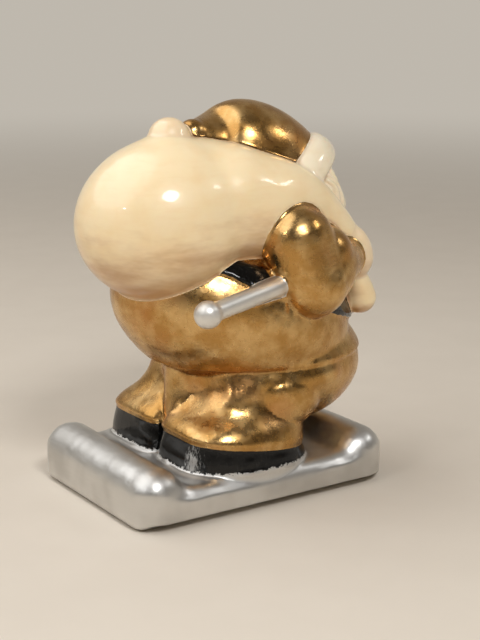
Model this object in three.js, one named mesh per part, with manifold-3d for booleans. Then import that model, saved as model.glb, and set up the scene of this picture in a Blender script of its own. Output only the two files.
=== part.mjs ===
// A glazed ceramic Santa Claus, bent under a big sack and standing on a silver toboggan.
// Millimetres, +Z up, +X is the way Santa faces, +Y is Santa's left.
// The origin is the middle of the toboggan's underside.
//
// The figure is slip-cast: the large pieces are hollow shells, luted to each other, and every
// hollow is vented into its neighbour and in the end through the hole under the toboggan.
import * as THREE from 'three';
import { mergeVertices } from 'three/addons/utils/BufferGeometryUtils.js';
import Module from 'manifold-3d';

const wasm = await Module();
wasm.setup();

// Clay: thickness of a cast wall, the joint of slip between two pieces, and the vent holes.
const wall = 4;
const joint = 0.3;
const ventRadius = 3;

// Toboggan: a slab whose two ends are rolled up.
const sledLength = 120;
const sledMargin = 1;
const deckHeight = 15;
const rollHeight = 23;
const rollRadius = 11;
const rollFillet = 10;
const soleRadius = 4;
const sledEdge = 2.5;
const sledCorner = 10;
const sledVentRadius = 6;
const sledVentPlace = 25;

// Boots: two wide soles side by side, each a rounded block that narrows upwards.
const bootHeight = 9.5;
const bootSlope = 8;
const bootLong = 56;
const bootOver = 0.5;
const bootDraft = 2;
const heelPlace = -30;
const leftSquare = 3.6;
const rightSquare = 2.4;
const innerSquare = 7;

// Trousers: two legs that are wide over the boots, and the belly that sags in front of them.
const cuffOver = 1;
const kneeLong = 44;
const kneeWide = 34;
const kneePlace = 8;
const hemHeight = 54;
const hemStep = 1.4;
const bellyPlace = 24;
const bellyDrop = 6;
const bellyLong = 43;
const bellyInset = 4;
const bellyTall = 27;

// Coat: rump and waist in one tilted egg, and the chest above the belt.
const bodyLean = 20;
const bodyPlace = 9;
const bodyRise = 18;
const bodyLong = 54;
const bodyWide = 43;
const bodyTall = 34;
const chestAhead = 15;
const chestRise = 22;
const chestLong = 27;
const chestWide = 36;
const chestTall = 20;

// Belt: a band round the waist, and its buckle in front.
const beltWidth = 9;
const beltThick = 1.6;
const beltRise = 15;
const buckleWide = 15;
const buckleTall = 12;
const buckleBar = 2.6;
const buckleThick = 3;

// Head with its face, beard and moustache.
const headRadius = 18.5;
const headAhead = 4;
const headRaise = 14;
const headTurn = -27;
const faceTurn = 20;
const headAside = 3;
const noseRadius = 4.2;
const eyeRadius = 2;
const beardLength = 26;
const beardRadius = 10;
const browRadius = 1.7;
const moustacheRadius = 4;

// Cap: the crown that is drawn back to a tip, the fur brim and the pompom.
const capWaist = 22.5;
const capReach = 46;
const capTipRadius = 6;
const capTipRise = 24;
const brimWide = 13;
const brimThick = 7;
const brimTilt = 43;
const brimPlace = -0.5;
const pompomRadius = 8.5;

// Sack: a fat round bag on the back, with its neck over the right shoulder.
const sackLong = 36.5;
const sackWide = 32;
const sackTall = 31.5;
const sackAside = 6;
const sackBearing = 150;
const sackSink = 23;
const sackLean = -12;
const saddleLong = 22;
const saddleWide = 25;
const saddleTall = 21;
const neckRadius = 13;
const mouthRadius = 7;

// Arms: puffed sleeves, bent at the elbow, with mittens. Places are seen from the leaning body:
// forward or up of its middle, out of its widest side, or sunk below its front.
const sleeveRadius = 14.5;
const forearmRise = 2;
const wristRadius = 9;
const shoulderPlace = { forward: -4.4, out: -7, up: 34 };
const elbowPlace = { forward: 6.5, out: -4, up: 20 };
const rightHandPlace = { sunk: 23, out: -16, up: 37 };
const leftHandPlace = { sunk: 2, out: -21, up: 11 };
const mittenRadius = 8.5;
const mittenLong = 25;
const mittenLean = -25;
const thumbRadius = 3.4;

// Staff under the right elbow.
const staffRadius = 3.8;
const knobRadius = 5.5;
const staffLength = 44;
const staffSlope = 8.8;
const staffTurn = 7.6;
const staffPlace = { forward: -41.5, out: 2, up: -3 };

// The boots stand out a little under the coat's widest place, and the toboggan just carries them.
const bootWide = bodyWide + bootOver;
const sledWidth = 2 * (bootWide + sledMargin);

const glaze = {
  silver: { color: 0xb9bbbb, roughness: 0.28, metalness: 0.9 },
  black: { color: 0x0d0b0a, roughness: 0.15, metalness: 0 },
  gold: { color: 0x8f6a2c, roughness: 0.2, metalness: 1 },
  cream: { color: 0xf3dfb8, roughness: 0.1, metalness: 0 },
  white: { color: 0xf6ead2, roughness: 0.12, metalness: 0 },
  skin: { color: 0xe7b48c, roughness: 0.2, metalness: 0 },
};

// A hollow's surface is never seen, so it has fewer faces than an outer one.
const hollowDetail = 0.5;
const ventSides = 12;

const rad = THREE.MathUtils.degToRad;
const vec = (x, y, z) => new THREE.Vector3(x, y, z);

// A closed mesh as a solid that can be cut and joined.
function toSolid(geometry) {
  const plain = geometry.clone();
  for (const name of Object.keys(plain.attributes)) {
    if (name !== 'position') plain.deleteAttribute(name);
  }
  const merged = mergeVertices(plain, 1e-4);
  return new wasm.Manifold(new wasm.Mesh({
    numProp: 3,
    vertProperties: Float32Array.from(merged.attributes.position.array),
    triVerts: Uint32Array.from(merged.index.array),
  }));
}

// The triangles of a solid as a geometry with flat faces.
function toGeometry(solid) {
  const mesh = solid.getMesh();
  const geometry = new THREE.BufferGeometry();
  geometry.setAttribute('position', new THREE.BufferAttribute(mesh.vertProperties, 3));
  geometry.setIndex(new THREE.BufferAttribute(mesh.triVerts, 1));
  const flat = geometry.toNonIndexed();
  flat.computeVertexNormals();
  return flat;
}

// An egg with three half-lengths, leaning down in front by some degrees, grown on every side.
function egg(centre, half, { lean = 0, grow = 0, around = 22, along = 11 } = {}) {
  const coarse = grow < 0 ? hollowDetail : 1;
  const shape = new THREE.SphereGeometry(1, Math.round(around * coarse), Math.round(along * coarse));
  shape.rotateX(Math.PI / 2);
  shape.scale(half.x + grow, half.y + grow, half.z + grow);
  shape.rotateY(rad(lean));
  shape.translate(centre.x, centre.y, centre.z);
  return toSolid(shape);
}

// Rings of points, each with as many points, skinned into a closed solid with a point at each end.
function skin(rings, first, last) {
  const around = rings[0].length;
  const points = [first, ...rings.flat(), last];
  const index = [];
  const at = (ring, k) => 1 + ring * around + (k % around);
  for (let k = 0; k < around; k += 1) {
    index.push(0, at(0, k + 1), at(0, k));
    for (let ring = 0; ring + 1 < rings.length; ring += 1) {
      index.push(at(ring, k), at(ring, k + 1), at(ring + 1, k));
      index.push(at(ring, k + 1), at(ring + 1, k + 1), at(ring + 1, k));
    }
    index.push(points.length - 1, at(rings.length - 1, k), at(rings.length - 1, k + 1));
  }
  const shape = new THREE.BufferGeometry().setFromPoints(points);
  shape.setIndex(index);
  return toSolid(shape);
}

// A round limb through stations [place, radius], with a dome at each end.
function limb(stations, { grow = 0, around = 18, steps = 8, dome = 4 } = {}) {
  const coarse = grow < 0 ? hollowDetail : 1;
  const count = Math.round(around * coarse);
  const spans = Math.max(Math.round(steps * coarse), 1);
  const path = new THREE.CatmullRomCurve3(stations.map(([place]) => place));
  const sizes = new THREE.CatmullRomCurve3(stations.map(([, radius]) => vec(radius + grow, 0, 0)));
  const { tangents, normals, binormals } = path.computeFrenetFrames(spans, false);
  const rings = [];
  const addRing = (span, offset, shrink) => {
    const t = path.getUtoTmapping(span / spans);
    const radius = sizes.getPoint(t).x;
    const centre = path.getPoint(t).addScaledVector(tangents[span], offset * radius);
    const ring = [];
    for (let k = 0; k < count; k += 1) {
      const angle = (2 * Math.PI * k) / count;
      ring.push(centre.clone()
        .addScaledVector(normals[span], shrink * radius * Math.cos(angle))
        .addScaledVector(binormals[span], shrink * radius * Math.sin(angle)));
    }
    rings.push(ring);
  };
  const pole = (span, sign) => {
    const t = path.getUtoTmapping(span / spans);
    return path.getPoint(t).addScaledVector(tangents[span], sign * sizes.getPoint(t).x);
  };
  for (let k = dome - 1; k > 0; k -= 1) {
    const angle = (Math.PI / 2) * (k / dome);
    addRing(0, -Math.sin(angle), Math.cos(angle));
  }
  for (let span = 0; span <= spans; span += 1) addRing(span, 0, 1);
  for (let k = 1; k < dome; k += 1) {
    const angle = (Math.PI / 2) * (k / dome);
    addRing(spans, Math.sin(angle), Math.cos(angle));
  }
  return skin(rings, pole(0, -1), pole(spans, 1));
}

// A plain block between two corners, and everything below or above a level.
function block(from, to) {
  const shape = new THREE.BoxGeometry(to.x - from.x, to.y - from.y, to.z - from.z);
  shape.translate((from.x + to.x) / 2, (from.y + to.y) / 2, (from.z + to.z) / 2);
  return shape;
}
const far = 300;
const below = (level) => toSolid(block(vec(-far, -far, -far), vec(far, far, level)));
const above = (level) => toSolid(block(vec(-far, -far, level), vec(far, far, far)));

// A round hole from one place to another.
function vent(from, to, radius = ventRadius) {
  const shape = new THREE.CylinderGeometry(radius, radius, from.distanceTo(to), ventSides);
  const turn = new THREE.Quaternion().setFromUnitVectors(vec(0, 1, 0), to.clone().sub(from).normalize());
  shape.applyQuaternion(turn);
  const middle = from.clone().lerp(to, 0.5);
  shape.translate(middle.x, middle.y, middle.z);
  return toSolid(shape);
}

// What is left of a solid when others are cut from it. Crumbs that a cut leaves loose are dropped.
function cut(solid, others) {
  const rest = others.reduce((whole, other) => whole.subtract(other), solid);
  return rest.decompose().sort((a, b) => b.volume() - a.volume())[0];
}

// Each shape below is a filled solid that can be grown, so that a neighbour is cut to fit round it.

// Toboggan
function sledProfile(inset) {
  const end = sledLength / 2 - inset;
  const roll = rollRadius - inset;
  const sole = Math.max(soleRadius - inset, 0.5);
  const crest = { x: sledLength / 2 - rollRadius, y: rollHeight - rollRadius };
  const fillet = rollFillet + inset;
  const level = deckHeight + rollFillet;
  const across = Math.sqrt((roll + fillet) ** 2 - (level - crest.y) ** 2);
  const slope = Math.asin((level - crest.y) / (roll + fillet));
  const shape = new THREE.Shape();
  shape.moveTo(-end + sole, inset);
  shape.absarc(end - sole, inset + sole, sole, -Math.PI / 2, 0, false);
  shape.absarc(crest.x, crest.y, roll, 0, Math.PI - slope, false);
  shape.absarc(crest.x - across, level, fillet, -slope, -Math.PI / 2, true);
  shape.absarc(-crest.x + across, level, fillet, -Math.PI / 2, slope - Math.PI, true);
  shape.absarc(-crest.x, crest.y, roll, slope, Math.PI, false);
  shape.absarc(-end + sole, inset + sole, sole, Math.PI, 1.5 * Math.PI, false);
  const points = shape.getPoints(5);
  return new THREE.Shape(points.filter((point, k) => point.distanceTo(points.at(k - 1)) > 0.01));
}

// An upright block with round corners, which gives the toboggan its plan.
function sledPlan(grow) {
  const long = sledLength / 2 - sledCorner;
  const wide = sledWidth / 2 - sledCorner;
  const shape = new THREE.Shape();
  [[long, wide], [-long, wide], [-long, -wide], [long, -wide]].forEach(([x, y], quarter) => {
    shape.absarc(x, y, sledCorner + grow, (quarter * Math.PI) / 2, ((quarter + 1) * Math.PI) / 2, false);
  });
  const upright = new THREE.ExtrudeGeometry(shape, {
    depth: 3 * rollHeight,
    bevelEnabled: false,
    curveSegments: 5,
  });
  upright.translate(0, 0, -rollHeight);
  return toSolid(upright);
}

function sledShape(grow = 0) {
  const outer = new THREE.ExtrudeGeometry(sledProfile(-grow), {
    depth: sledWidth - 2 * sledEdge + 2 * grow,
    bevelThickness: sledEdge,
    bevelSize: sledEdge,
    bevelOffset: -sledEdge,
    bevelSegments: 2,
  });
  outer.translate(0, 0, -(sledWidth - 2 * sledEdge) / 2 - grow);
  outer.rotateX(Math.PI / 2);
  return toSolid(outer).intersect(sledPlan(grow));
}

function sledHollow() {
  const depth = sledWidth - 2 * (wall + sledEdge);
  const inner = new THREE.ExtrudeGeometry(sledProfile(wall), { depth, bevelEnabled: false });
  inner.translate(0, 0, -depth / 2);
  inner.rotateX(Math.PI / 2);
  return toSolid(inner);
}

// Boots
const sides = { left: 1, right: -1 };
const bootTop = deckHeight + bootHeight;
const bootMiddle = (side) => vec(heelPlace + bootLong / 2, (side * bootWide) / 2, bootTop);
const square = (side) => [side, side > 0 ? leftSquare : rightSquare];
const squareWave = (value, power) => Math.sign(value) * Math.abs(value) ** (2 / power);

// Rounded sections, one above another: [middle, length, width, squareness, slope].
function stack(levels, grow, around = 24) {
  const rings = levels.map(([middle, long, wide, [side, outer], slope = 0]) => {
    const ring = [];
    for (let k = 0; k < around; k += 1) {
      const angle = (2 * Math.PI * k) / around;
      const power = side * Math.sin(angle) > 0 ? outer : innerSquare;
      const x = (long / 2 + grow) * squareWave(Math.cos(angle), power);
      const y = (wide / 2 + grow) * squareWave(Math.sin(angle), power);
      ring.push(middle.clone().add(vec(x, y, -x * Math.tan(rad(slope)))));
    }
    return ring;
  });
  return skin(rings, levels[0][0], levels.at(-1)[0]);
}

function bootShape(side, grow = 0) {
  const middle = bootMiddle(side);
  const level = (z, inset, slope = 0) => [
    middle.clone().setZ(z), bootLong - 2 * inset, bootWide - 2 * inset, square(side), slope];
  return stack([
    level(deckHeight - 6 - grow, 0),
    level(deckHeight + bootHeight * 0.35, 0, bootSlope * 0.3),
    level(bootTop - 2, bootDraft * 0.6, bootSlope * 0.8),
    level(bootTop, bootDraft, bootSlope),
    level(bootTop + 1 + grow, bootDraft * 2.5, bootSlope),
  ], grow).subtract(below(deckHeight + joint - grow));
}

// Trousers
function legShape(side, grow = 0) {
  const low = bootMiddle(side);
  const high = vec(kneePlace, (side * kneeWide) / 2, hemHeight);
  const level = (t, z, inset, slope = 0) => [
    low.clone().lerp(high, t).setZ(z),
    bootLong - bootDraft * 2 + (kneeLong - bootLong) * t - 2 * inset,
    bootWide - bootDraft * 2 + (kneeWide - bootWide) * t - 2 * inset,
    square(side),
    slope,
  ];
  const rise = hemHeight - bootTop;
  return stack([
    level(0, bootTop - 1.5 - grow, cuffOver, bootSlope),
    level(0, bootTop, -cuffOver, bootSlope),
    level(0.1, bootTop + rise * 0.15, -cuffOver, bootSlope * 0.7),
    level(0.5, bootTop + rise * 0.4, 0, bootSlope * 0.3),
    level(0.85, bootTop + rise * 0.7, 0),
    level(1, hemHeight, 0),
    level(1, hemHeight + rise * 0.3, kneeWide * 0.2),
  ], grow);
}
const belly = vec(bellyPlace, 0, hemHeight - bellyDrop);
const bellyHalf = vec(bellyLong, bodyWide - bellyInset, bellyTall);
const bellyShape = (grow = 0) => egg(belly, bellyHalf, { grow });

// The egg of rump and waist leans forward about its middle.
const body = vec(bodyPlace, 0, hemHeight + bodyRise);
const ahead = vec(Math.cos(rad(bodyLean)), 0, -Math.sin(rad(bodyLean)));
const upward = vec(Math.sin(rad(bodyLean)), 0, Math.cos(rad(bodyLean)));
const onBody = (forward, left, up) => body.clone()
  .addScaledVector(ahead, forward)
  .addScaledVector(upward, up)
  .add(vec(0, left, 0));
const aside = ({ forward, out, up }, side) => onBody(forward, side * (bodyWide + out), up);

const waistShape = (grow = 0) => egg(body, vec(bodyLong, bodyWide, bodyTall), { lean: bodyLean, grow });
const trousersShape = (grow = 0) => bellyShape(grow)
  .add(waistShape(grow - hemStep))
  .add(legShape(1, grow))
  .add(legShape(-1, grow))
  .subtract(above(hemHeight - joint + grow));

// Coat
const chest = onBody(chestAhead, 0, chestRise);
const chestShape = (grow = 0) => egg(chest, vec(chestLong, chestWide, chestTall), { lean: bodyLean, grow });
const coatShape = (grow = 0) => waistShape(grow)
  .add(chestShape(grow))
  .add(bellyShape(grow + hemStep))
  .subtract(below(hemHeight - grow));

// A place in front on the waist, so far to the left and up, and so far out of its surface.
function onWaist(left, up, out) {
  const share = Math.max(1 - (left / bodyWide) ** 2 - (up / bodyTall) ** 2, 0);
  return onBody(bodyLong * Math.sqrt(share) + out, left, up);
}

// Belt
function band(rise, width, grow) {
  const shape = block(
    vec(-far, -far, -width / 2 - grow),
    vec(far, far, width / 2 + grow));
  shape.rotateY(rad(bodyLean));
  const middle = onBody(0, 0, rise);
  shape.translate(middle.x, middle.y, middle.z);
  return toSolid(shape);
}
const beltShape = (grow = 0) => waistShape(beltThick + grow)
  .add(chestShape(beltThick + grow))
  .intersect(band(beltRise, beltWidth, grow));

// How far forward a leaning egg reaches at some height above the body's middle.
const reach = (long, tall, forward, up) => forward + long * Math.sqrt(Math.max(0, 1 - (up / tall) ** 2));
const waistReach = reach(bodyLong, bodyTall, 0, beltRise);
const chestReach = reach(chestLong, chestTall, chestAhead, beltRise - chestRise);
const beltReach = Math.max(waistReach, chestReach);
const frontSlope = Math.atan2(beltRise / bodyTall ** 2, waistReach / bodyLong ** 2);

function buckleShape(grow = 0) {
  const frame = new THREE.Shape();
  const [w, h] = [buckleWide / 2 + grow, buckleTall / 2 + grow];
  frame.moveTo(-w, -h);
  frame.lineTo(w, -h);
  frame.lineTo(w, h);
  frame.lineTo(-w, h);
  if (grow === 0) {
    const hole = new THREE.Path();
    const [a, b] = [w - buckleBar, h - buckleBar];
    hole.moveTo(-a, -b);
    hole.lineTo(-a, b);
    hole.lineTo(a, b);
    hole.lineTo(a, -b);
    frame.holes.push(hole);
  }
  const depth = 3 * buckleThick;
  const shape = new THREE.ExtrudeGeometry(frame, { depth, bevelEnabled: false });
  shape.translate(0, 0, buckleThick + beltThick - depth);
  shape.rotateX(Math.PI / 2);
  shape.rotateZ(Math.PI / 2);
  shape.rotateY(rad(bodyLean) - frontSlope);
  const place = onBody(beltReach, 0, beltRise);
  shape.translate(place.x, place.y, place.z);
  return toSolid(shape);
}

// Head
const head = chest.clone().add(vec(headAhead, -headAside, chestTall + headRaise));
const headShape = (grow = 0) => egg(head, vec(headRadius, headRadius, headRadius), { grow });
// A place on the head, seen from the face, which looks further ahead than the cap does.
const onHead = (azimuth, height, out = 0) => head.clone().add(vec(
  Math.cos(rad(headTurn + faceTurn + azimuth)) * Math.cos(rad(height)),
  Math.sin(rad(headTurn + faceTurn + azimuth)) * Math.cos(rad(height)),
  Math.sin(rad(height)),
).multiplyScalar(headRadius + out));

const noseShape = (grow = 0) => egg(onHead(0, -7, 1.5), vec(noseRadius, noseRadius * 1.1, noseRadius),
  { grow, around: 12, along: 7 });
const eyeShape = (side, grow = 0) => egg(
  onHead(side * 19, 4, -eyeRadius * 0.3),
  vec(eyeRadius, eyeRadius, eyeRadius * 1.25),
  { grow, around: 10, along: 6 });
const browShape = (side, grow = 0) => limb([
  [onHead(side * 10, 16), browRadius],
  [onHead(side * 19, 20), browRadius],
  [onHead(side * 28, 16), browRadius * 0.7],
], { grow, around: 8, steps: 4, dome: 2 });
const moustacheShape = (side, grow = 0) => limb([
  [onHead(side * 7, -19, 2), moustacheRadius * 0.7],
  [onHead(side * 17, -24, 4), moustacheRadius],
  [onHead(side * 29, -24, 5), moustacheRadius * 0.75],
  [onHead(side * 38, -17, 5), moustacheRadius * 0.3],
], { grow, around: 10, steps: 6, dome: 2 });
const sideburn = (side) => [
  [onHead(side * 47, 15, -beardRadius * 0.15), beardRadius * 0.44],
  [onHead(side * 49, -4, -beardRadius * 0.05), beardRadius * 0.56],
  [onHead(side * 42, -22), beardRadius * 0.8],
  [onHead(side * 28, -42, -beardRadius * 0.2), beardRadius],
];
const beardShape = (grow = 0) => limb([
  ...sideburn(-1),
  [onHead(0, -54, -beardRadius * 0.15), beardRadius],
  ...sideburn(1).reverse(),
], { grow, around: 14, steps: 14, dome: 3 })
  .add(limb([
    [onHead(0, -50, -2), beardRadius * 1.35],
    [onHead(0, -56, beardLength * 0.4), beardRadius],
    [onHead(0, -60, beardLength * 0.75), beardRadius * 0.35],
  ], { grow, around: 14, steps: 5, dome: 3 }));

// Cap
const opening = vec(
  Math.cos(rad(brimTilt)) * Math.cos(rad(headTurn)),
  Math.cos(rad(brimTilt)) * Math.sin(rad(headTurn)),
  -Math.sin(rad(brimTilt)));
const capPath = [
  [head.clone(), capWaist - 1],
  [head.clone().addScaledVector(opening, -capReach * 0.24), capWaist],
  [head.clone().add(vec(-capReach * 0.48, 4, capReach * 0.35)), capWaist * 0.93],
  [head.clone().add(vec(-capReach * 0.78, 4, capReach * 0.42)), capWaist * 0.62],
  [head.clone().add(vec(-capReach * 0.98, 1, capTipRise)), capTipRadius],
];

// The space in front of the brim, where the cap is open.
function aheadOfBrim() {
  const shape = block(vec(-far, 0, -far), vec(far, far, far));
  shape.applyQuaternion(new THREE.Quaternion().setFromUnitVectors(vec(0, 1, 0), opening));
  const place = head.clone().addScaledVector(opening, brimPlace);
  shape.translate(place.x, place.y, place.z);
  return toSolid(shape);
}
const capShape = (grow = 0) => limb(capPath, { grow, around: 20, steps: 9, dome: 3 })
  .subtract(aheadOfBrim());

function brimRing(grow = 0) {
  const profile = [];
  const middle = headRadius + brimThick / 2;
  const steps = 8;
  for (let k = 0; k <= steps; k += 1) {
    const angle = (2 * Math.PI * k) / steps;
    profile.push(new THREE.Vector2(
      middle + (brimThick / 2 + grow) * Math.cos(angle),
      (brimWide / 2 + grow) * Math.sin(angle)));
  }
  const ring = new THREE.LatheGeometry(profile, 26);
  ring.applyQuaternion(new THREE.Quaternion().setFromUnitVectors(vec(0, 1, 0), opening));
  const place = head.clone().addScaledVector(opening, brimPlace);
  ring.translate(place.x, place.y, place.z);
  return toSolid(ring);
}

// Pompom, lying on the sack behind the tip of the cap
const [capTip] = capPath.at(-1);
const pompom = capTip.clone().add(vec(-capTipRadius - pompomRadius * 0.7, -2, -1));
const pompomShape = (grow = 0) => egg(pompom, vec(pompomRadius, pompomRadius, pompomRadius),
  { grow, around: 16, along: 9 });

// Sack: the bag behind the shoulders, and its neck that comes over the right one to the hand
const sackBack = Math.cos(rad(sackBearing));
const sackUp = Math.sin(rad(sackBearing));
const coatDistance = 1 / Math.hypot(sackBack / bodyLong, sackUp / bodyTall);
const sackDistance = coatDistance + sackTall - sackSink;
const sack = onBody(sackDistance * sackBack, -sackAside, sackDistance * sackUp);
const hands = {
  right: aside({ ...rightHandPlace, forward: bodyLong - rightHandPlace.sunk }, -1),
  left: onWaist(bodyWide + leftHandPlace.out, leftHandPlace.up, -leftHandPlace.sunk),
};
const neckPath = [
  [sack.clone().add(vec(sackLong * 0.4, 0, sackTall * 0.16)), sackTall * 0.87],
  [sack.clone().lerp(hands.right, 0.45).add(vec(0, -1, neckRadius * 1.05)), neckRadius * 1.65],
  [sack.clone().lerp(hands.right, 0.68).add(vec(0, -1, neckRadius * 1.05)), neckRadius * 1.15],
  [sack.clone().lerp(hands.right, 0.86).add(vec(0, 0, neckRadius * 0.65)), neckRadius * 0.8],
  [hands.right, mouthRadius],
];
// The bag narrows to its neck in a full curve over the shoulder.
const saddle = sack.clone().lerp(hands.right, 0.3).add(vec(0, -1, neckRadius * 1.05));
const sackShape = (grow = 0) => egg(sack, vec(sackLong, sackWide, sackTall), { lean: sackLean, grow })
  .add(egg(saddle, vec(saddleLong, saddleWide, saddleTall), { grow }))
  .add(limb(neckPath, { grow, around: 20, steps: 9, dome: 3 }));

// The bag's hollow keeps a wall to all that the bag is pressed against.
function sackHollow() {
  const pressed = [coatShape, beltShape, headShape, brimRing, capShape, beardShape, pompomShape];
  return cut(sackShape(-wall), pressed.map((shape) => shape(wall)));
}

// The gathered mouth of the sack, below the hand
const mouthShape = (grow = 0) => limb([
  [hands.right.clone().add(vec(1, 1, -mittenLong * 0.3)), mouthRadius * 0.6],
  [hands.right.clone().add(vec(5, 2, -mittenLong * 0.62)), mouthRadius * 0.85],
  [hands.right.clone().add(vec(7, 3, -mittenLong * 0.84)), mouthRadius],
], { grow, around: 14, steps: 4, dome: 3 });

// Arms: the upper arm and the forearm are two puffs that meet at the elbow
function sleeveShape(side, hand, grow = 0) {
  const shoulder = aside(shoulderPlace, side);
  const elbow = aside(elbowPlace, side);
  return limb([[shoulder, sleeveRadius], [elbow, sleeveRadius]], { grow, around: 16, steps: 2, dome: 4 })
    .add(limb([
      [elbow, sleeveRadius * 0.98],
      [elbow.clone().lerp(hand, 0.36).add(vec(0, 0, forearmRise)), sleeveRadius * 0.92],
      [elbow.clone().lerp(hand, 0.72), wristRadius],
    ], { grow, around: 16, steps: 4, dome: 4 }));
}
const mittenShape = (at, grow = 0) => egg(at, vec(mittenRadius, mittenRadius, mittenLong / 2),
  { grow, lean: mittenLean, around: 16, along: 9 });

// The left hand's thumb points up beside the buckle. The right one is behind the sack's neck.
const thumbShape = (at, grow = 0) => limb([
  [at.clone().add(vec(4, -3, 1)), thumbRadius],
  [at.clone().add(vec(6.5, -6.5, 5)), thumbRadius * 0.94],
  [at.clone().add(vec(6.5, -8, 9)), thumbRadius * 0.82],
], { grow, around: 12, steps: 4, dome: 3 });
const leftHandShape = (grow = 0) => mittenShape(hands.left, grow).add(thumbShape(hands.left, grow));

// Staff
const staffRear = aside(staffPlace, -1);
const staffFront = staffRear.clone().add(vec(
  Math.cos(rad(staffSlope)) * Math.cos(rad(staffTurn)),
  Math.cos(rad(staffSlope)) * Math.sin(rad(staffTurn)),
  Math.sin(rad(staffSlope)),
).multiplyScalar(staffLength));
const staffShape = (grow = 0) => limb([
  [staffRear, staffRadius],
  [staffFront, staffRadius],
], { grow, around: 12, steps: 1, dome: 3 });
const knobShape = (grow = 0) => egg(staffRear, vec(knobRadius, knobRadius, knobRadius),
  { grow, around: 14, along: 8 });

// Vents: under the toboggan, through each boot and leg, and into the hollows of head and sack
const ventUnder = vent(
  vec(sledVentPlace, 0, -1),
  vec(sledVentPlace, 0, wall + 1),
  sledVentRadius);
const legVent = (side) => vent(
  bootMiddle(side).setZ(deckHeight - wall - 1),
  bootMiddle(side).setZ(hemHeight));
const neckVent = vent(head, chest);
const sackVent = vent(sack, body);

// The assembly. Each piece is cut to fit round those before it, with the joint between them.
const part = new THREE.Group();
const earlier = [];
function addPiece(name, colour, shape, hollows = []) {
  const solid = cut(shape(0), [...earlier, ...hollows]);
  earlier.push(shape(joint));
  const piece = new THREE.Mesh(toGeometry(solid), new THREE.MeshStandardMaterial(colour));
  piece.name = name;
  part.add(piece);
}
function addPair(name, colour, shape) {
  for (const [word, side] of Object.entries(sides)) {
    addPiece(`${name}_${word}`, colour, (grow) => shape(side, grow));
  }
}

addPiece('sled_base', glaze.silver, sledShape, [sledHollow(), ventUnder, legVent(1), legVent(-1)]);
for (const [word, side] of Object.entries(sides)) {
  addPiece(`boot_${word}`, glaze.black, (grow) => bootShape(side, grow), [legVent(side)]);
}
addPiece('trousers', glaze.gold, trousersShape, [
  waistShape(-wall - hemStep), bellyShape(-wall), legVent(1), legVent(-1)]);
addPiece('coat', glaze.gold, coatShape, [
  waistShape(-wall), chestShape(-wall), bellyShape(-wall), neckVent, sackVent]);
addPiece('belt', glaze.black, beltShape);
addPiece('belt_buckle', glaze.silver, buckleShape);
addPiece('head', glaze.skin, headShape, [headShape(-wall), neckVent]);
addPiece('cap_brim', glaze.white, brimRing);
addPiece('cap_crown', glaze.gold, capShape);
addPiece('nose', glaze.skin, noseShape);
addPair('eye', glaze.black, eyeShape);
addPair('eyebrow', glaze.white, browShape);
addPiece('beard', glaze.white, beardShape);
addPair('moustache', glaze.white, moustacheShape);
addPiece('cap_pompom', glaze.white, pompomShape);
addPiece('sack', glaze.cream, sackShape, [sackHollow(), sackVent]);
addPiece('mitten_right', glaze.white, (grow) => mittenShape(hands.right, grow));
addPiece('sack_mouth', glaze.cream, mouthShape);
addPiece('staff_knob', glaze.silver, knobShape);
addPiece('staff_shaft', glaze.silver, staffShape);
addPiece('sleeve_right', glaze.gold, (grow) => sleeveShape(-1, hands.right, grow));
addPiece('mitten_left', glaze.white, leftHandShape);
addPiece('sleeve_left', glaze.gold, (grow) => sleeveShape(1, hands.left, grow));

export default part;
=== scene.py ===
"""A glazed ceramic Santa Claus, bent under a big sack and standing on a silver toboggan.

Everything is measured in millimetres here and turned to metres when a mesh is made. +X is the way
Santa faces, +Y is Santa's left, +Z is up, and the origin is the middle of the toboggan's underside.

The figure is built as the potter builds it. Its main forms are closed shells, fused into a soft
body and a finer head, so that every crease between them is rounded like cast clay. Then both are
cut along the painted borders into their pieces, and each piece gets its glaze or lustre. The eyes
and the belt's buckle are made by themselves.
"""

import math

import bpy
import numpy as np
from mathutils import Matrix, Vector


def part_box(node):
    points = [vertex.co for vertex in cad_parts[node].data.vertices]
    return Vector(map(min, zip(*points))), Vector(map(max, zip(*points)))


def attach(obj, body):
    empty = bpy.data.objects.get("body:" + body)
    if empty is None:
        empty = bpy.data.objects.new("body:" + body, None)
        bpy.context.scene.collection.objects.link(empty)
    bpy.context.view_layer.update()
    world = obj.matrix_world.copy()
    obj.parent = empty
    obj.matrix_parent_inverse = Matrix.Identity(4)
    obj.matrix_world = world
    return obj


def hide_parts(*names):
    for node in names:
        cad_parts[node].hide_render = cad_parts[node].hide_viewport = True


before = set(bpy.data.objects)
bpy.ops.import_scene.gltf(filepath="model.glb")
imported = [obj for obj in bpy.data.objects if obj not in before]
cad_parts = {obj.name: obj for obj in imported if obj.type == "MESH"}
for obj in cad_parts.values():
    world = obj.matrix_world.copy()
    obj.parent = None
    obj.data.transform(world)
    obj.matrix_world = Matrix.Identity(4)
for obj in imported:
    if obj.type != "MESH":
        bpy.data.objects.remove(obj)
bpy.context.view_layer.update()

# Sides are 1 for Santa's left and -1 for the right. FAR is well past the whole figure.
MM = 0.001
FAR = 300.0
HANDS = {1: "left", -1: "right"}


def node_box(node):
    """The lowest and highest corner of a node of the frame, in millimetres."""
    low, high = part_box(node)
    return np.array(low) / MM, np.array(high) / MM


def vec(x, y, z):
    return np.array([x, y, z], float)


def way(azimuth, height):
    """A direction: degrees from +X towards +Y, and degrees above the floor."""
    turn, lift = math.radians(azimuth), math.radians(height)
    return vec(math.cos(turn) * math.cos(lift), math.sin(turn) * math.cos(lift), math.sin(lift))


# Clay: how fine the fused body is, and how far the cutters reach past a form into its creases.
GRAIN = 0.7
CREASE = 0.9
FACE_GRAIN = 0.38
FACE_CREASE = 0.25
LEG_OVER, BELLY_OVER, BOOT_OVER, HEM_OVER = 0.6, 0.9, 0.5, 0.5

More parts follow.
